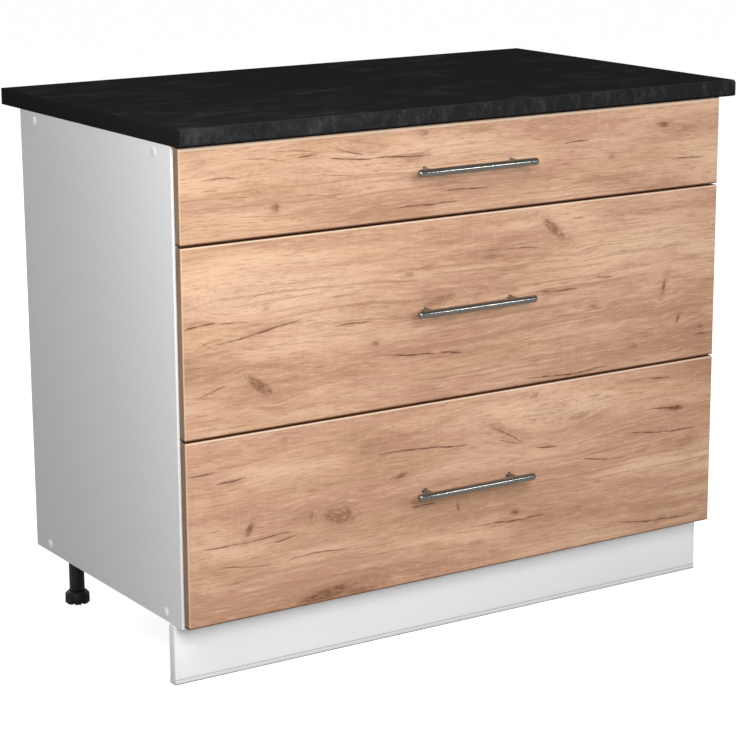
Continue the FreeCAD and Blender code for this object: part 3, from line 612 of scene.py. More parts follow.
# Cracks of each front: both ends from its lower left corner, bow and thickness in millimetres.
CRACKS = {
    "lower": (
        (-6, 231, 50, 236, 0, 1.3), (46, 217, 104, 220, -1, 1.5), (8, 119, 190, 124, -3, 1.5),
        (142, 110, 190, 117, -2, 1.2), (322, 216, 480, 210, 2, 1.3), (445, 212, 502, 207, 0, 1.4),
        (156, 77, 284, 75, 4, 1.0), (46, 88, 148, 77, -2, 0.9), (388, 122, 442, 121, 1, 1.6),
        (798, 178, 970, 166, -3, 1.5), (708, 150, 816, 137, 0, 1.5), (628, 181, 678, 176, 0, 1.3),
        (855, 264, 906, 261, 0, 1.5), (495, 74, 662, 71, -4, 1.5), (792, 30, 968, 17, -5, 1.7),
        (558, 204, 602, 191, 0, 1.6), (862, 212, 938, 203, 0, 1.8), (540, 228, 612, 186, 4, 1.2),
    ),
    "middle": (
        (-6, 164, 58, 172, 0, 1.6), (46, 137, 208, 160, -2, 1.7), (250, 139, 330, 140, 2, 1.5),
        (336, 81, 448, 73, 2, 1.6), (444, 75, 490, 68, 0, 1.6), (630, 148, 716, 144, -2, 1.6),
        (738, 160, 784, 156, 0, 1.5), (948, 40, 994, 40, 0, 1.6), (600, 11, 780, 9, -2, 1.8),
        (52, 168, 112, 164, 2, 1.0), (560, 222, 640, 216, 2, 1.0), (14, 128, 70, 146, 5, 0.5),
        (20, 150, 66, 128, -4, 0.4), (96, 196, 190, 206, 2, 0.4), (24, 62, 74, 76, 1, 0.8),
    ),
    "upper": (
        (31, 91, 101, 90, 1, 1.1), (193, 111, 231, 112, 0, 1.5), (245, 106, 330, 98, -2, 1.7),
        (320, 98, 438, 93, 1, 1.6), (677, 91, 731, 92, 1, 1.5), (893, 48, 969, 47, 1, 1.4),
        (362, 18, 486, 20, 2, 1.7), (438, 38, 538, 35, 1, 1.4), (240, 126, 330, 104, -4, 1.0),
        (96, 116, 196, 100, 5, 0.45), (150, 122, 240, 112, 4, 0.5), (108, 84, 150, 62, -5, 0.3),
        (222, 88, 300, 76, -3, 0.4), (60, 62, 118, 60, 1, 0.6), (190, 54, 262, 46, 2, 0.4),
    ),
}

# Of each front: seed of the grain, how much lighter it is drawn (partly its decor, partly painted light
# that makes the upper front lighter and the lower one darker) and how wide the painted highlight along its
# upper rounded edge is.
OAK_MOODS = {"lower": (0.0, -0.018, 0.0028), "middle": (3.7, 0.006, 0.0028), "upper": (8.1, 0.034, 0.0050)}

MILLIMETRE = 0.001


def front_vector(place, drawer):
    """Along the grain, across the grain and depth on a front, which the edging follows round, and
    the places from the left, from below, from the nearer end and on the edging."""
    low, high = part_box(f"{drawer}_front")
    across, back, up = split(stretched(place, (1.0, 1.0, 1.0), (-low.x, -low.y, -low.z)))
    sides = calc("MINIMUM", across, minus(high.x - low.x, across))
    on_end = calc("LESS_THAN", sides, bpy.context.scene.cabinet_sizes.front_round * 0.3)
    flat = vector_of(across, plus(up, back))
    end = vector_of(plus(up, 0.4), plus(across, back), 2.0)
    chosen = add_node(place.id_data, "ShaderNodeMix", {"Factor": on_end}, data_type="VECTOR")
    feed(chosen.inputs[4], flat)
    feed(chosen.inputs[5], end)
    return chosen.outputs[1], up, sides, ease(back, 0.0014, 0.0022)


def make_oak(drawer):
    """Oak decor of one drawer front, with its own knots and cracks, painted highlights along its rounded
    edges (partly the foil lightened over them) and painted shade along its lower edge, its ends and its
    edging (partly the edging's darker tone).
    """
    shader, place = new_material(f"oak {drawer}")
    face, up, sides, on_edge = front_vector(place, drawer)
    seed, paler_decor_and_light, highlight_rim_height = OAK_MOODS[drawer]
    ragged = noise(face, 170.0, 3.0, 0.65)
    wander = times_plus(streaks(face, (15.0, 8.0, 1.0), 3.0, 0.45), 0.010, -0.005)
    push, heart, shade, rings, crack = 0.0, 0.0, 0.0, 0.0, 0.0
    for left, height, half_length, half_thickness, tilt, darkness in KNOTS[drawer]:
        knot = place_group("knot", Vector=face, Across=left * MILLIMETRE, Up=height * MILLIMETRE,
                           Half_Length=half_length * MILLIMETRE,
                           Half_Thickness=half_thickness * MILLIMETRE, Tilt=math.radians(tilt),
                           Ragged=ragged, Wander=wander)
        push = plus(knot["Push"], push)
        heart = times_plus(knot["Heart"], darkness, heart)
        shade = times_plus(knot["Shade"], darkness, shade)
        ringed = times(knot["Rings"], min(1.0, 0.25 + darkness * 0.9))
        rings = calc("MAXIMUM", ringed, rings)
    breaks = ease(streaks(face, (60.0, 260.0, 1.0), 3.0), 0.30, 0.58, 0.40, 1.0)
    for left, low_up, right, high_up, bow, thick in CRACKS[drawer]:
        line = place_group("crack", Vector=face, Wander=wander, Breaks=breaks,
                           Across=(left + right) / 2 * MILLIMETRE,
                           Up=((low_up + high_up) / 2 + bow) * MILLIMETRE,
                           Half_Length=(right - left) / 2 * MILLIMETRE,
                           Slope=(high_up - low_up) / 2 * MILLIMETRE, Bow=-bow * MILLIMETRE,
                           Thickness=thick * 1.25 * MILLIMETRE)
        crack = plus(line["Mask"], crack)
    seeded = stretched(face, (1.0, 1.0, 1.0), (seed, 0.0, seed))
    grain = place_group("oak grain", Vector=seeded, Push=push)
    base = blend(ease(grain["Warmth"], 0.36, 0.58), colour_of("oak_middle"), colour_of("oak_rosy"))
    dark, light = colour_of("oak_dark"), colour_of("oak_light")
    # The tone thresholds shift to make the upper front lighter and the lower one darker: partly the decor,
    # partly painted light that falls off from top to bottom.
    for layer, start, end, most, colour in (
            ("Tone", 0.46 - paler_decor_and_light, 0.66 - paler_decor_and_light, 0.88, light),
            ("Tone", 0.51 - paler_decor_and_light, 0.30 - paler_decor_and_light, 0.56, dark),
            ("Bands", 0.52, 0.74, 0.62, dark), ("Bands", 0.48, 0.28, 0.55, light),
            ("Streaks", 0.49, 0.72, 0.52, dark), ("Streaks", 0.50, 0.30, 0.46, light),
            ("Fibre", 0.3, 0.7, 0.22, dark)):
        base = blend(ease(grain[layer], start, end, 0.0, most), base, colour)
    for mask, most, colour in (
            (grain["Cross"], 0.10, light), (grain["Pores"], 0.50, colour_of("oak_crack", 2.2)),
            (grain["Lines"], 0.50, dark), (times(rings, breaks), 0.44, dark), (shade, 0.50, dark),
            (heart, 0.95, colour_of("oak_knot")), (crack, 0.86, colour_of("oak_crack"))):
        base = blend(times(mask, most, clamp=True), base, colour)
    low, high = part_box(f"{drawer}_front")
    from_top = minus(high.z - low.z, up)
    # Painted highlight: lighter oak along the rounded left, right and upper edges of the front, where they
    # catch the light, partly the foil lightened over the edge; widest on the upper front.
    painted_rim_shading = calc("MAXIMUM", ease(sides, 0.0022, 0.0010, 0.0, 0.40),
               ease(from_top, highlight_rim_height, highlight_rim_height - 0.0014, 0.0, 0.78))
    base = blend(painted_rim_shading, base, colour_of("oak_arris"))
    # Painted shade: the lowest few millimetres of each front darkened, where its rounded lower edge faces
    # down into the gap.
    base = blend(ease(up, 0.0036, 0.0014, 0.0, 0.88), base, colour_of("oak_crack", 0.9))
    # The edging darkened against the face: partly its own darker tone, partly painted shade on the ends and
    # in the gaps between the fronts.
    edging = blend(ease(sides, 0.0008, 0.0002), colour_of("oak_edging"), colour_of("oak_end"))
    colour = blend(on_edge, base, edging, "MULTIPLY")
    marks = place_group("smudges", Vector=place, Size=0.16)
    rough = times_plus(marks["Mask"], 0.08, 0.48)
    rough = times_plus(grain["Pores"], 0.15, rough)
    rough = times_plus(on_edge, 0.35, rough)
    set_shader(shader, Base_Color=colour, Roughness=rough, Specular_IOR_Level=0.25)
    height = times_plus(grain["Pores"], -0.8, times(grain["Fibre"], 0.5))
    height = times_plus(crack, -1.5, height)
    raise_surface(shader, height, 0.00010)


def make_white_board(name, shade):
    """White melamine: a faint pebbled sheen. A shade above 1 makes a lighter copy of the board, which is
    painted light.
    """
    shader, place = new_material(name)
    pearl = place_group("pearl", Vector=place, Grain_Size=0.0011)
    marks = place_group("smudges", Vector=place, Size=0.22)
    base = blend(times(marks["Mask"], 0.5), colour_of("white", shade), colour_of("white", 0.965 * shade))
    colour = blend(times(pearl["Shade"], 0.25), base, colour_of("white", 0.95 * shade))
    set_shader(shader, Base_Color=colour, Specular_IOR_Level=0.4,
               Roughness=times_plus(marks["Mask"], 0.10, 0.44))
    raise_surface(shader, pearl["Height"], 0.00005)


def make_white_band():
    """White edging of the boards, glossier than their faces and faintly scored along, and lighter than
    them: partly its own white, partly painted light.
    """
    shader, place = new_material("white edging")
    lines = place_group("brushing", Vector=place, Stretch=(700.0, 6.0, 6.0))
    marks = place_group("smudges", Vector=place, Size=0.12)
    colour = blend(times(marks["Mask"], 0.5), colour_of("white_band"), colour_of("white_band", 0.95))
    set_shader(shader, Base_Color=colour, Specular_IOR_Level=0.45,
               Roughness=times_plus(lines["Shade"], 0.08, 0.36))
    raise_surface(shader, lines["Height"], 0.00003)


def make_hardboard():
    """Hardboard: lacquered white inside, raw brown fibre on the rear."""
    shader, place = new_material("hardboard")
    _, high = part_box("back_panel")
    raw = ease(split(place)["Y"], high.y - 0.0006, high.y - 0.0003)
    flecks = noise(place, 480.0, 4.0, 0.7)
    clouds = noise(place, 14.0, 3.0)
    fibre = blend(ease(flecks, 0.35, 0.68), colour_of("fibre", 1.15), colour_of("fibre", 0.62))
    fibre = blend(ease(clouds, 0.35, 0.65, 0.0, 0.35), fibre, colour_of("fibre", 0.8))
    lacquer = blend(ease(flecks, 0.4, 0.7, 0.0, 0.3), colour_of("white"), colour_of("white", 0.93))
    set_shader(shader, Base_Color=blend(raw, lacquer, fibre),
               Roughness=times_plus(raw, 0.32, 0.5), Specular_IOR_Level=0.35)
    raise_surface(shader, flecks, 0.00012)


def make_slate():
    """Slate decor laminate: nearly black with faint cloudy streaks, pressed with a fine relief, with a
    painted highlight along its rounded nose and painted shade along the lower edge of its front.
    """
    shader, place = new_material("slate laminate")
    clouds = streaks(place, (8.0, 15.0, 9.0), 5.0, 0.62)
    veins = streaks(place, (26.0, 52.0, 40.0), 4.0, 0.68, (5.0, 2.0, 0.0))
    specks = streaks(place, (150.0, 260.0, 260.0), 3.0, 0.7)
    drifts = streaks(place, (85.0, 12.0, 46.0), 5.0, 0.72)
    front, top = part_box("worktop")
    depth = minus(split(place)["Y"], front.y)
    nose = ease(depth, 0.006, 0.003)
    mist = times(ease(clouds, 0.44, 0.72), ease(veins, 0.36, 0.70))
    drawn = times(times(ease(drifts, 0.45, 0.70), 0.50), nose)
    factor = times_plus(mist, 0.55, drawn)
    factor = times_plus(ease(specks, 0.5, 0.75), 0.07, factor)
    # Painted highlight: a lighter line along the rounded upper front edge of the worktop.
    arris = times(ease(depth, 0.0105, 0.0075), ease(depth, 0.0015, 0.0045))
    above = ease(split(place)["Z"], top.z - 0.006, top.z - 0.002)
    arris = times(times(arris, above), 0.35)
    factor = plus(factor, arris, clamp=True)
    colour = blend(factor, colour_of("slate"), colour_of("slate_vein"))
    # Painted shade: the lowest few millimetres of the worktop's front darkened, as if in the shadow under
    # the nose.
    below = ease(split(place)["Z"], front.z + 0.0045, front.z + 0.0025, 0.0, 0.75)
    colour = blend(below, colour, colour_of("slate", 0.3))
    pearl = place_group("pearl", Vector=place, Grain_Size=0.0016)
    marks = place_group("smudges", Vector=place, Size=0.2)
    rough = times_plus(marks["Mask"], 0.1, 0.62)
    set_shader(shader, Base_Color=colour, Roughness=rough, Specular_IOR_Level=0.0)
    raise_surface(shader, pearl["Height"], 0.00010)


def make_backing():
    """Brown balancing paper under the worktop."""
    shader, place = new_material("backing paper")
    flecks = noise(place, 260.0, 4.0, 0.7)
    clouds = noise(place, 9.0, 3.0)
    colour = blend(ease(flecks, 0.35, 0.7, 0.0, 0.6), colour_of("fibre", 0.75), colour_of("fibre", 0.45))
    colour = blend(ease(clouds, 0.4, 0.7, 0.0, 0.4), colour, colour_of("fibre", 0.95))
    set_shader(shader, Base_Color=colour, Roughness=0.8)
    raise_surface(shader, flecks, 0.0001)


def make_edging():
    """Black edging strip on the worktop's ends."""
    shader, place = new_material("black edging")
    pearl = place_group("pearl", Vector=place, Grain_Size=0.0009)
    saw = place_group("brushing", Vector=place, Stretch=(900.0, 6.0, 900.0))
    plain, sawn = (0.0185, 0.0180, 0.0178), (0.027, 0.0265, 0.0265)
    colour = blend(times(saw["Shade"], 0.6), rgba(plain), rgba(sawn))
    set_shader(shader, Base_Color=colour, Specular_IOR_Level=0.0,
               Roughness=times_plus(pearl["Shade"], 0.1, 0.6))
    raise_surface(shader, pearl["Height"], 0.00005)


def make_metal(name, setting, stretch, roughness, spread, relief, stain):
    """Bare or plated steel with lines from brushing or rolling, and faint spots of tone."""
    shader, place = new_material(name)
    lines = place_group("brushing", Vector=place, Stretch=stretch)
    marks = place_group("smudges", Vector=place, Size=0.05)
    base = blend(times(lines["Shade"], 0.5), colour_of(setting), colour_of(setting, 0.72))
    base = blend(times(marks["Mask"], 0.45), base, rgba(stain))
    rough = times_plus(lines["Shade"], spread, roughness)
    rough = times_plus(marks["Mask"], spread * 0.8, rough)
    set_shader(shader, Base_Color=base, Metallic=1.0, Roughness=rough)
    raise_surface(shader, lines["Height"], relief)


def make_black_plastic():
    """Black moulded plastic, finely pebbled and scuffed near the floor."""
    shader, place = new_material("black plastic")
    pearl = place_group("pearl", Vector=place, Grain_Size=0.0007)
    scuffs = streaks(place, (60.0, 60.0, 260.0), 4.0, 0.7)
    low = ease(split(place)["Z"], 0.030, 0.002)
    worn = times(ease(scuffs, 0.52, 0.72), times_plus(low, 0.8, 0.12))
    colour = blend(worn, colour_of("black"), colour_of("black", 4.5))
    colour = blend(times(pearl["Shade"], 0.3), colour, colour_of("black", 1.8))
    set_shader(shader, Base_Color=colour, Specular_IOR_Level=0.4,
               Roughness=times_plus(worn, 0.3, 0.42))
    raise_surface(shader, pearl["Height"], 0.00006)


def make_white_plastic():
    """White moulded plastic of the screw caps."""
    shader, place = new_material("white plastic")
    pearl = place_group("pearl", Vector=place, Grain_Size=0.0005)
    marks = place_group("smudges", Vector=place, Size=0.01)
    clean, handled = (0.98, 0.98, 0.98), (0.93, 0.93, 0.925)
    colour = blend(times(marks["Mask"], 0.6), rgba(clean), rgba(handled))
    set_shader(shader, Base_Color=colour, Specular_IOR_Level=0.8,
               Roughness=times_plus(pearl["Shade"], 0.08, 0.20))
    raise_surface(shader, pearl["Height"], 0.00003)


def make_clear(name, colour, roughness, grain):
    """Clear soft plastic, faintly hazy."""
    shader, place = new_material(name)
    pearl = place_group("pearl", Vector=place, Grain_Size=grain)
    haze = blend(pearl["Shade"], rgba(colour), rgba(colour, 0.93))
    set_shader(shader, Base_Color=haze, Transmission_Weight=0.85, IOR=1.45,
               Roughness=times_plus(pearl["Shade"], 0.08, roughness))
    raise_surface(shader, pearl["Height"], 0.00004)


def make_soft_seal():
    """Soft milky plastic of the plinth's seal, a little translucent, with a painted contact shadow along
    its bottom, broken up and partly dirt, and a painted shade line under its lip.
    """
    shader, place = new_material("soft seal")
    pearl = place_group("pearl", Vector=place, Grain_Size=0.0010)
    dust = streaks(place, (40.0, 40.0, 200.0), 3.0, 0.6)
    milky, hazy = (0.88, 0.88, 0.885), (0.83, 0.83, 0.835)
    # The darker tones: painted contact shadow along the bottom, partly dirt, and painted shade under the
    # lip.
    dust_and_contact_shadow, shaded = (0.30, 0.30, 0.305), (0.42, 0.42, 0.43)
    height = split(place)["Z"]
    # Painted shadow: the lowest few millimetres darkened towards the floor, broken up by noise.
    low = ease(height, 0.0030, 0.0012)
    # Painted shade: a grey line just under the lip's bead.
    painted_rim_shading = ease(height, 0.0074, 0.0080, 0.0, 0.75)
    colour = blend(pearl["Shade"], rgba(milky), rgba(hazy))
    colour = blend(times(low, ease(dust, 0.2, 0.6, 0.55, 0.95)), colour, rgba(dust_and_contact_shadow))
    colour = blend(painted_rim_shading, colour, rgba(shaded))
    set_shader(shader, Base_Color=colour, Transmission_Weight=0.1, IOR=1.45,
               Roughness=times_plus(pearl["Shade"], 0.1, 0.34))
    raise_surface(shader, pearl["Height"], 0.00004)


def make_finishes():
    """Build every finish."""
    make_groups()
    for drawer in DRAWERS:
        make_oak(drawer)
    make_white_board("white board", 1.0)
    # The plinth gets a lighter copy of the white board: painted light.
    make_white_board("plinth board", 1.09)
    make_white_band()
    make_hardboard()
    make_slate()
    make_backing()
    make_edging()
    make_metal("satin steel", "steel", (9.0, 2600.0, 2600.0), 0.13, 0.04, 0.000001, (0.30, 0.295, 0.28))
    make_metal("zinc sheet", "zinc", (700.0, 7.0, 700.0), 0.26, 0.12, 0.00002, (0.52, 0.55, 0.60))
    make_metal("screw steel", "zinc", (900.0, 900.0, 900.0), 0.26, 0.10, 0.00002, (0.50, 0.47, 0.38))
    make_black_plastic()
    make_white_plastic()
    make_clear("clear rubber", (0.93, 0.94, 0.95), 0.22, 0.0006)
    make_soft_seal()


# The finish of each solid that is shown as it is, by a part of its name; the first match counts.
FINISH_OF = (
    ("bottom_panel", "white board"), ("nails", "screw steel"), ("screw_caps", "white plastic"),
    ("screws", "screw steel"), ("rails", "zinc sheet"), ("back_panel", "hardboard"),
    ("plinth_seal", "soft seal"), ("clips", "black plastic"), ("leg_bodies", "black plastic"),
    ("foot_", "black plastic"), ("bumpers", "clear rubber"), ("handle", "satin steel"),
    ("end_strips", "black edging"), ("worktop", "slate laminate"), ("_bottom", "hardboard"),
    ("", "white board"),
)


# ---------------------------------------------------------------- operators

class CABINET_OT_finishes(Operator):
    """Make the finishes and give them to the solids"""
    bl_idname = "cabinet.finishes"
    bl_label = "Finishes"

    def execute(self, context):
        make_finishes()
        for node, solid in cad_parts.items():
            cover(solid, next(finish for part, finish in FINISH_OF if part in node))
        return {"FINISHED"}


class CABINET_OT_side_panels(Operator):
    """Model the side panels with their front edge bands"""
    bl_idname = "cabinet.side_panels"
    bl_label = "Side panels"

    def execute(self, context):
        sizes = context.scene.cabinet_sizes
        for side in ("left", "right"):
            node = f"side_panel_{side}"
            low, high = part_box(node)
            core = add_block(node, (low.x, low.y + sizes.band, low.z), high)
            bevel(core, lambda edge: True, sizes.board_ease / 2, 2)
            band = add_block(f"{node}_band", low, (high.x, low.y + sizes.band, high.z))
            bevel(band, lambda edge: True, sizes.board_ease * 0.8, 3)
            panel = smooth(join([core, band], f"panel_{side}"))
            cover(panel, "white board", "white edging")
            second_finish(panel, lambda face: face.center.y < low.y + sizes.band * 0.9)
            stand_for(panel, "carcass", "white_board", node)
        return {"FINISHED"}


def ease_board(node, name, body):
    """A board of the frame with its outer arrises eased and its edges banded."""
    size = bpy.context.scene.cabinet_sizes.board_ease
    low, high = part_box(node)
    spread = high - low
    thin = min(range(3), key=lambda axis: spread[axis])

    def outer(edge):
        """Whether an edge is an arris of the whole board."""
        return sum(ends_at(edge, axis, low[axis]) or ends_at(edge, axis, high[axis])
                   for axis in range(3)) > 1

    def banded(face):
        """Whether a face is one of the board's narrow edges."""
        flat = abs(face.normal[thin]) > 0.8
        near = any(min(abs(face.center[axis] - low[axis]), abs(face.center[axis] - high[axis])) < size
                   for axis in range(3) if axis != thin)
        return near and not flat

    piece = bevel(merged_copy(node, name), outer, size, 2)
    smooth(piece)
    cover(piece, "plinth board" if body == "plinth" else "white board", "white edging")
    second_finish(piece, banded)
    return stand_for(piece, body, "white_board", node)


class CABINET_OT_boards(Operator):
    """Ease and band the boards of the carcass and of the drawer boxes"""
    bl_idname = "cabinet.boards"
    bl_label = "Boards"

    def execute(self, context):
        for node in ("bottom_panel", "top_rail_front", "top_rail_rear"):
            ease_board(node, f"{node}_banded", "carcass")
        for drawer in DRAWERS:
            for part in ("side_left", "side_right", "inner_front", "back"):
                node = f"{drawer}_{part}"
                ease_board(node, f"{node}_banded", f"{drawer}_drawer")
        return {"FINISHED"}


class CABINET_OT_drawer_fronts(Operator):
    """Model the oak drawer fronts with their softly rounded edges"""
    bl_idname = "cabinet.drawer_fronts"
    bl_label = "Drawer fronts"

    def execute(self, context):
        sizes = context.scene.cabinet_sizes
        for drawer in DRAWERS:
            node = f"{drawer}_front"
            low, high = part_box(node)
            front = add_block(f"oak_front_{drawer}", low, high)
            bevel(front, lambda edge: ends_at(edge, 1, low.y), sizes.front_round, 5)
            bevel(front, lambda edge: ends_at(edge, 1, high.y), sizes.board_ease, 2)
            smooth(front)
            cover(front, f"oak {drawer}", "white board")
            second_finish(front, lambda face: face.normal.y > 0.9)
            stand_for(front, f"{drawer}_drawer", "oak_decor", node)
        return {"FINISHED"}


class CABINET_OT_handles(Operator):
    """Model the round handles on their two posts"""
    bl_idname = "cabinet.handles"
    bl_label = "Handles"

    def execute(self, context):
        sizes = context.scene.cabinet_sizes
        low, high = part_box("lower_handle")
        radius = (high.z - low.z) / 2
        rod_y = low.y + radius
        level = (low.z + high.z) / 2
        middle = (low.x + high.x) / 2
        rod = add_rod("rod", (middle, rod_y, level), radius, high.x - low.x, "X", 64)
        bevel(rod, lambda edge: ends_at(edge, 0, low.x) or ends_at(edge, 0, high.x), sizes.rod_end, 4)
        parts = [rod]
        for side in (-1, 1):
            at = middle + side * sizes.post_spacing / 2
            parts.append(self.post(at, rod_y + radius * 0.5, high.y, level))
        handle = smooth(join(parts, "bar_handle_lower"))
        cover(handle, "satin steel")
        for drawer in reversed(DRAWERS):
            piece = handle
            if drawer != "lower":
                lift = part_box(f"{drawer}_handle")[0].z - low.z
                piece = copy_moved(handle, f"bar_handle_{drawer}", (0, 0, lift))
            stand_for(piece, f"{drawer}_drawer", "brushed_rod", f"{drawer}_handle")
        return {"FINISHED"}

    def post(self, at, start, end, level):
        """A post that runs back from inside the rod and widens to a short foot on the front."""
        radius = bpy.context.scene.cabinet_sizes.post
        foot, wider = 0.001, 1.3
        piece = add_rod("post", (at, (start + end) / 2, level), radius, end - start, "Y", 40)
        edit(piece, "faces", lambda face: face.normal.y > 0.9,
             lambda: bpy.ops.transform.translate(value=(0, -foot, 0)),
             lambda: bpy.ops.mesh.extrude_region_move(TRANSFORM_OT_translate={"value": (0, 0, 0)}),
             lambda: bpy.ops.transform.resize(value=(wider, 1, wider)),
             lambda: bpy.ops.mesh.extrude_region_move(TRANSFORM_OT_translate={"value": (0, foot, 0)}))
        centre = Vector((at, end - foot, level))
        return bevel(piece, lambda edge: ends_at(edge, 1, centre.y)
                     and (edge.verts[0].co - centre).length > radius * 1.2, 0.0004, 3)


class CABINET_OT_slides(Operator):
    """Model the three members of each slide, with their lips and rows of balls"""
    bl_idname = "cabinet.slides"
    bl_label = "Slides"

    def execute(self, context):
        sizes = context.scene.cabinet_sizes
        outer_low, outer_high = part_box("outer_rails")
        middle_low, middle_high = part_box("lower_middle_rails")
        inner_low, inner_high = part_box("lower_inner_rails")
        centre = (inner_low.x + inner_high.x) / 2
        level = (inner_low.z + inner_high.z) / 2
        outer_half = level - outer_low.z
        middle_half = middle_high.z - level
        inner_half = inner_high.z - level
        outer = self.member("slide_outer_lower_left", outer_low.x, outer_low.x + sizes.outer_depth,
                            level, outer_half, outer_low.y, outer_high.y)
        middle = self.member("slide_middle_lower_left", middle_low.x, middle_low.x + sizes.middle_depth,
                             level, middle_half, middle_low.y, middle_high.y)
        inner = self.member("slide_inner_lower_left", inner_low.x + sizes.inner_depth, inner_low.x,
                            level, inner_half, inner_low.y, inner_high.y)
        for piece in (outer, middle, inner):
            cover(piece, "zinc sheet")
        race = (middle_half + outer_half - sizes.sheet) / 2
        track = (inner_half + middle_half - sizes.sheet) / 2
        rear_rows = self.rows("rows", middle_low.x + 0.0038, race, 0.0012, level, middle_high.y - 0.115)
        front_rows = self.rows("rows", inner_low.x + 0.0026, track, 0.0017, level, middle_low.y + 0.012)
        cage = smooth(join([rear_rows, front_rows], "slide_balls_lower_left"))
        cover(cage, "screw steel")
        for drawer in reversed(DRAWERS):
            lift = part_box(f"{drawer}_inner_rails")[0].z - inner_low.z
            middles = f"{drawer}_slide_middles"
            for piece, body, slot, nodes in (
                    (outer, "carcass", "zinc_steel", ["outer_rails"]),
                    (middle, middles, "zinc_steel", [f"{drawer}_middle_rails"]),
                    (inner, f"{drawer}_drawer", "zinc_steel", [f"{drawer}_inner_rails"]),
                    (cage, middles, "screw_steel", [])):
                name = piece.name.replace("lower", drawer)
                left = piece if drawer == "lower" else copy_moved(piece, name, (0, 0, lift))
                right = copy_mirrored(left, name.replace("left", "right"), centre)
                stand_for(right, body, slot, *nodes)
                stand_for(left, body, slot, *nodes)
        return {"FINISHED"}

    def member(self, name, web, tip, level, half, start, end):
        """A rolled channel that runs backwards, with rounded corners and turned-in lips."""
        sizes = bpy.context.scene.cabinet_sizes
        piece = add_block(name, (min(web, tip), start, level - half), (max(web, tip), end, level + half))
        way = 1 if tip > web else -1
        edit(piece, "faces", lambda face: face.normal.x * way > 0.9 or abs(face.normal.y) > 0.9,
             lambda: bpy.ops.mesh.delete(type="ONLY_FACE"))
        for side in (-1, 1):
            edit(piece, "edges",
                 lambda edge: ends_at(edge, 0, tip) and ends_at(edge, 2, level + side * half),
                 lambda: bpy.ops.mesh.extrude_edges_move(
                     TRANSFORM_OT_translate={"value": (0, 0, -side * sizes.lip)}))
        bevel(piece, lambda edge: runs_along(edge, 1) and ends_at(edge, 0, web), 0.0020, 4)
        bevel(piece, lambda edge: ends_at(edge, 0, tip) and any(
            ends_at(edge, 2, level + side * half) for side in (-1, 1)), 0.0008, 3)
        finish_with(piece, "SOLIDIFY", thickness=sizes.sheet, offset=-1.0)
        return smooth(piece)

    def rows(self, name, at, height, radius, level, start):
        """Two rows of balls, above and below, with the strips that hold them."""
        sizes = bpy.context.scene.cabinet_sizes
        pitch = Vector((0, sizes.ball_pitch, 0))
        margin = Vector((0.0022, 0.004, 0.0003))  # half width, overhang and half thickness
        parts = []
        for side in (-1, 1):
            first = Vector((at, start, level + side * height))
            bpy.ops.mesh.primitive_uv_sphere_add(segments=8, ring_count=6, radius=radius, location=first)
            balls = finish_with(settle("balls"), "ARRAY", count=sizes.balls, use_relative_offset=False,
                                use_constant_offset=True, constant_offset_displace=pitch)
            strip = add_block("strip", first - margin, first + pitch * (sizes.balls - 1) + margin)
            bevel(strip, lambda edge: runs_along(edge, 2), 0.0015, 3)
            parts += [balls, strip]
        return join(parts, name)


class CABINET_OT_legs(Operator):
    """Round the legs, the levelling feet and the plinth's clips as mouldings"""
    bl_idname = "cabinet.legs"
    bl_label = "Legs and feet"

    def execute(self, context):
        size = context.scene.cabinet_sizes.plastic_round
        moulded = [("leg_bodies", "moulded_legs", "carcass"), ("plinth_clips", "moulded_clips", "plinth")]
        moulded += [(f"foot_{foot}", f"moulded_foot_{foot}", f"{foot}_foot") for foot in FEET]
        for node, name, body in moulded:
            piece = round_off(merged_copy(node, name), size)
            stand_for(cover(piece, "black plastic"), body, "black_plastic", node)
        return {"FINISHED"}


class CABINET_OT_plinth(Operator):
    """Model the plinth board and the soft seal round its lower edge"""
    bl_idname = "cabinet.plinth"
    bl_label = "Plinth"

    def execute(self, context):
        sizes = context.scene.cabinet_sizes
        ease_board("plinth_board", "plinth_banded", "plinth")
        low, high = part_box("plinth_seal")
        seal = add_block("seal", low, high)
        edit(seal, "faces", lambda face: face.normal.z > 0.9 or abs(face.normal.x) > 0.9,
             lambda: bpy.ops.mesh.delete(type="ONLY_FACE"))
        bevel(seal, lambda edge: runs_along(edge, 0) and ends_at(edge, 2, low.z), 0.0011, 4)
        finish_with(seal, "SOLIDIFY", thickness=0.0008, offset=-1.0)
        middle = (low.x + high.x) / 2
        parts = [seal]
        for across in (low.y + sizes.seal_bead * 0.6, high.y - sizes.seal_bead * 0.6):
            bead = add_rod("bead", (middle, across, high.z), sizes.seal_bead, high.x - low.x, "X", 10)
            parts.append(bead)
        seal = smooth(join(parts, "plinth_seal_lipped"))
        stand_for(cover(seal, "soft seal"), "plinth", "clear_seal", "plinth_seal")
        return {"FINISHED"}


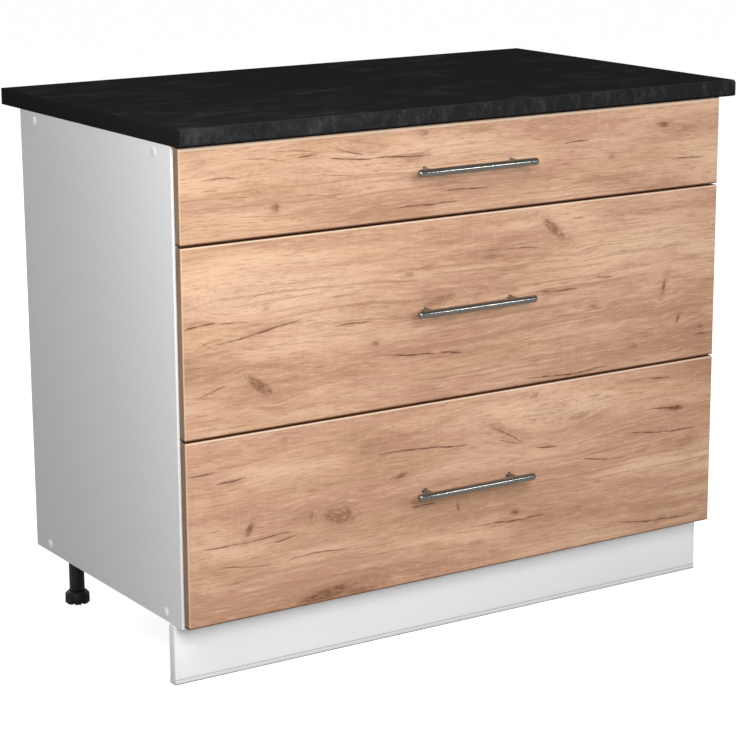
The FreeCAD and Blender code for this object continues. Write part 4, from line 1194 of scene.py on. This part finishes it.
class CABINET_OT_worktop(Operator):
    """Model the worktop with its rolled front edge and the strips on its ends"""
    bl_idname = "cabinet.worktop"
    bl_label = "Worktop"

    def execute(self, context):
        sizes = context.scene.cabinet_sizes
        low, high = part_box("worktop")

        def roll(piece):
            """Round both front edges of a piece of the worktop."""
            for height, size, steps in ((high.z, sizes.nose, 8), (low.z, sizes.under_nose, 5)):
                bevel(piece, lambda edge: ends_at(edge, 1, low.y) and ends_at(edge, 2, height), size, steps)

        slab = add_block("worktop_slab", low, high)
        roll(slab)
        smooth(slab)
        cover(slab, "slate laminate", "backing paper")
        second_finish(slab, lambda face: face.normal.z < -0.9)
        stand_for(slab, "carcass", "stone_laminate", "worktop")
        outer_low, outer_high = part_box("worktop_end_strips")
        for side, start, end in (("left", outer_low.x, low.x), ("right", high.x, outer_high.x)):
            strip = add_block(f"worktop_strip_{side}", (start, low.y, low.z), (end, high.y, high.z))
            roll(strip)
            outside = outer_low.x if side == "left" else outer_high.x
            bevel(strip, lambda edge: ends_at(edge, 0, outside), 0.0004, 2)
            smooth(strip)
            stand_for(cover(strip, "black edging"), "carcass", "black_edging", "worktop_end_strips")
        return {"FINISHED"}


class CABINET_OT_screw_caps(Operator):
    """Model the white caps over the carcass screws"""
    bl_idname = "cabinet.screw_caps"
    bl_label = "Screw caps"

    def execute(self, context):
        sizes = context.scene.cabinet_sizes
        low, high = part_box("screw_caps")
        half = sizes.cap_width / 2
        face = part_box("side_panel_left")[0].x
        bpy.ops.mesh.primitive_uv_sphere_add(segments=40, ring_count=24, radius=sizes.cap_dome,
                                             location=(face, low.y + half, low.z + half),
                                             rotation=(0, math.pi / 2, 0))
        bpy.context.object.scale = (1.0, 1.0, sizes.cap_rise / sizes.cap_dome)
        cap = settle("screw_cap_1")
        edit(cap, "verts", lambda vert: True,
             lambda: bpy.ops.mesh.bisect(plane_co=(face, 0, 0), plane_no=(1, 0, 0), clear_outer=True,
                                         use_fill=True))
        smooth(cap, math.radians(50))
        cover(cap, "white plastic")
        offsets = [(0, along, lift) for along in (0.0, high.y - low.y - sizes.cap_width)
                   for lift in (0.0, high.z - low.z - sizes.cap_width)]
        for number, offset in reversed(list(enumerate(offsets))):
            left = copy_moved(cap, f"screw_cap_{2 * number + 1}", offset) if number else cap
            right = copy_mirrored(left, f"screw_cap_{2 * number + 2}", (low.x + high.x) / 2)
            for piece in (left, right):
                stand_for(piece, "carcass", "white_plastic", "screw_caps")
        return {"FINISHED"}


class CABINET_OT_stage(Operator):
    """Set up the floor, the lights and the camera"""
    bl_idname = "cabinet.stage"
    bl_label = "Stage"

    def execute(self, context):
        stage = context.scene.cabinet_stage
        bpy.ops.mesh.primitive_plane_add(size=80.0, location=(0, 0, 0))
        floor = settle("floor")
        shader, place = new_material("pale floor")
        tone = noise(place, 3.0, 3.0)
        seen = add_node(place.id_data, "ShaderNodeLightPath").outputs["Is Camera Ray"]
        set_shader(shader, Roughness=0.9, Specular_IOR_Level=0.0,
                   Base_Color=blend(tone, rgba((0.56, 0.56, 0.56)), rgba((0.54, 0.54, 0.54))),
                   Emission_Color=rgba((1.0, 1.0, 1.0)), Emission_Strength=times(seen, 0.86))
        cover(floor, "pale floor")

        world = bpy.data.worlds.new("even light")
        world.use_nodes = True
        sky = world.node_tree
        seen = add_node(sky, "ShaderNodeLightPath").outputs["Is Camera Ray"]
        background = sky.nodes["Background"]
        feed(background.inputs["Color"], rgba((1.0, 1.0, 1.0)))
        feed(background.inputs["Strength"], calc("MAXIMUM", seen, stage.daylight))
        context.scene.world = world

        self.add_light("key light", (-0.66, -2.20, 1.46), (-0.02, -0.28, 0.50), 1.0, stage.key)
        self.add_light("fill light", (-1.42, -1.00, 1.56), (-0.51, -0.15, 0.59), 0.8, stage.fill)
        self.add_light("strip light", (2.15, -3.30, 1.42), (0.0, -0.28, 0.50), 1.5, stage.strip, 0.26)
        self.add_light("rear light", (-0.30, 4.20, 2.60), (0.0, 0.0, 0.4), 2.0, stage.rear)
        self.add_light("side light", (4.20, 1.20, 2.20), (0.0, 0.0, 0.4), 1.6, stage.side)

        lens = bpy.data.cameras.new("camera")
        lens.lens = stage.lens
        lens.sensor_width = 36.0
        lens.clip_end = 100.0
        camera = bpy.data.objects.new("camera", lens)
        context.scene.collection.objects.link(camera)
        turn = (Matrix.Rotation(-stage.yaw, 4, "Z") @ Matrix.Rotation(math.pi / 2 - stage.pitch, 4, "X")
                @ Matrix.Rotation(stage.roll, 4, "Z"))
        camera.matrix_world = Matrix.Translation(stage.camera_place) @ turn
        context.scene.camera = camera
        context.scene.view_settings.view_transform = "Standard"
        return {"FINISHED"}

    def add_light(self, name, place, target, size, power, height=None):
        """A soft light that faces a point, square or with a height of its own."""
        light = bpy.data.lights.new(name, "AREA")
        light.shape = "RECTANGLE"
        light.size = size
        light.size_y = height or size
        light.energy = power
        lamp = bpy.data.objects.new(name, light)
        bpy.context.scene.collection.objects.link(lamp)
        lamp.location = place
        lamp.visible_camera = False
        lamp.rotation_mode = "QUATERNION"
        lamp.rotation_quaternion = (Vector(target) - Vector(place)).to_track_quat("-Z", "Y")


class CABINET_PT_tools(Panel):
    """Lists the cabinet's pieces in the order in which they are made"""
    bl_idname = "CABINET_PT_tools"
    bl_label = "Base cabinet"
    bl_space_type = "VIEW_3D"
    bl_region_type = "UI"
    bl_category = "Cabinet"

    def draw(self, context):
        for maker in OPERATORS:
            self.layout.operator(maker.bl_idname)
        for settings in ("cabinet_sizes", "cabinet_colours", "cabinet_stage"):
            group = getattr(context.scene, settings)
            for name in group.__annotations__:
                self.layout.prop(group, name)


OPERATORS = (
    CABINET_OT_finishes,
    CABINET_OT_side_panels,
    CABINET_OT_boards,
    CABINET_OT_drawer_fronts,
    CABINET_OT_handles,
    CABINET_OT_slides,
    CABINET_OT_legs,
    CABINET_OT_plinth,
    CABINET_OT_worktop,
    CABINET_OT_screw_caps,
    CABINET_OT_stage,
)
CLASSES = (CabinetSizes, CabinetColours, CabinetStage, *OPERATORS, CABINET_PT_tools)


def register():
    """Register every class and put the settings on the scene."""
    for kind in CLASSES:
        bpy.utils.register_class(kind)
    bpy.types.Scene.cabinet_sizes = PointerProperty(type=CabinetSizes)
    bpy.types.Scene.cabinet_colours = PointerProperty(type=CabinetColours)
    bpy.types.Scene.cabinet_stage = PointerProperty(type=CabinetStage)


def unregister():
    """Take the settings and the classes away again."""
    del bpy.types.Scene.cabinet_stage
    del bpy.types.Scene.cabinet_colours
    del bpy.types.Scene.cabinet_sizes
    for kind in reversed(CLASSES):
        bpy.utils.unregister_class(kind)


def main():
    """Make every piece in order."""
    register()
    for maker in OPERATORS:
        section, name = maker.bl_idname.split(".")
        getattr(getattr(bpy.ops, section), name)()


if __name__ == "__main__":
    main()
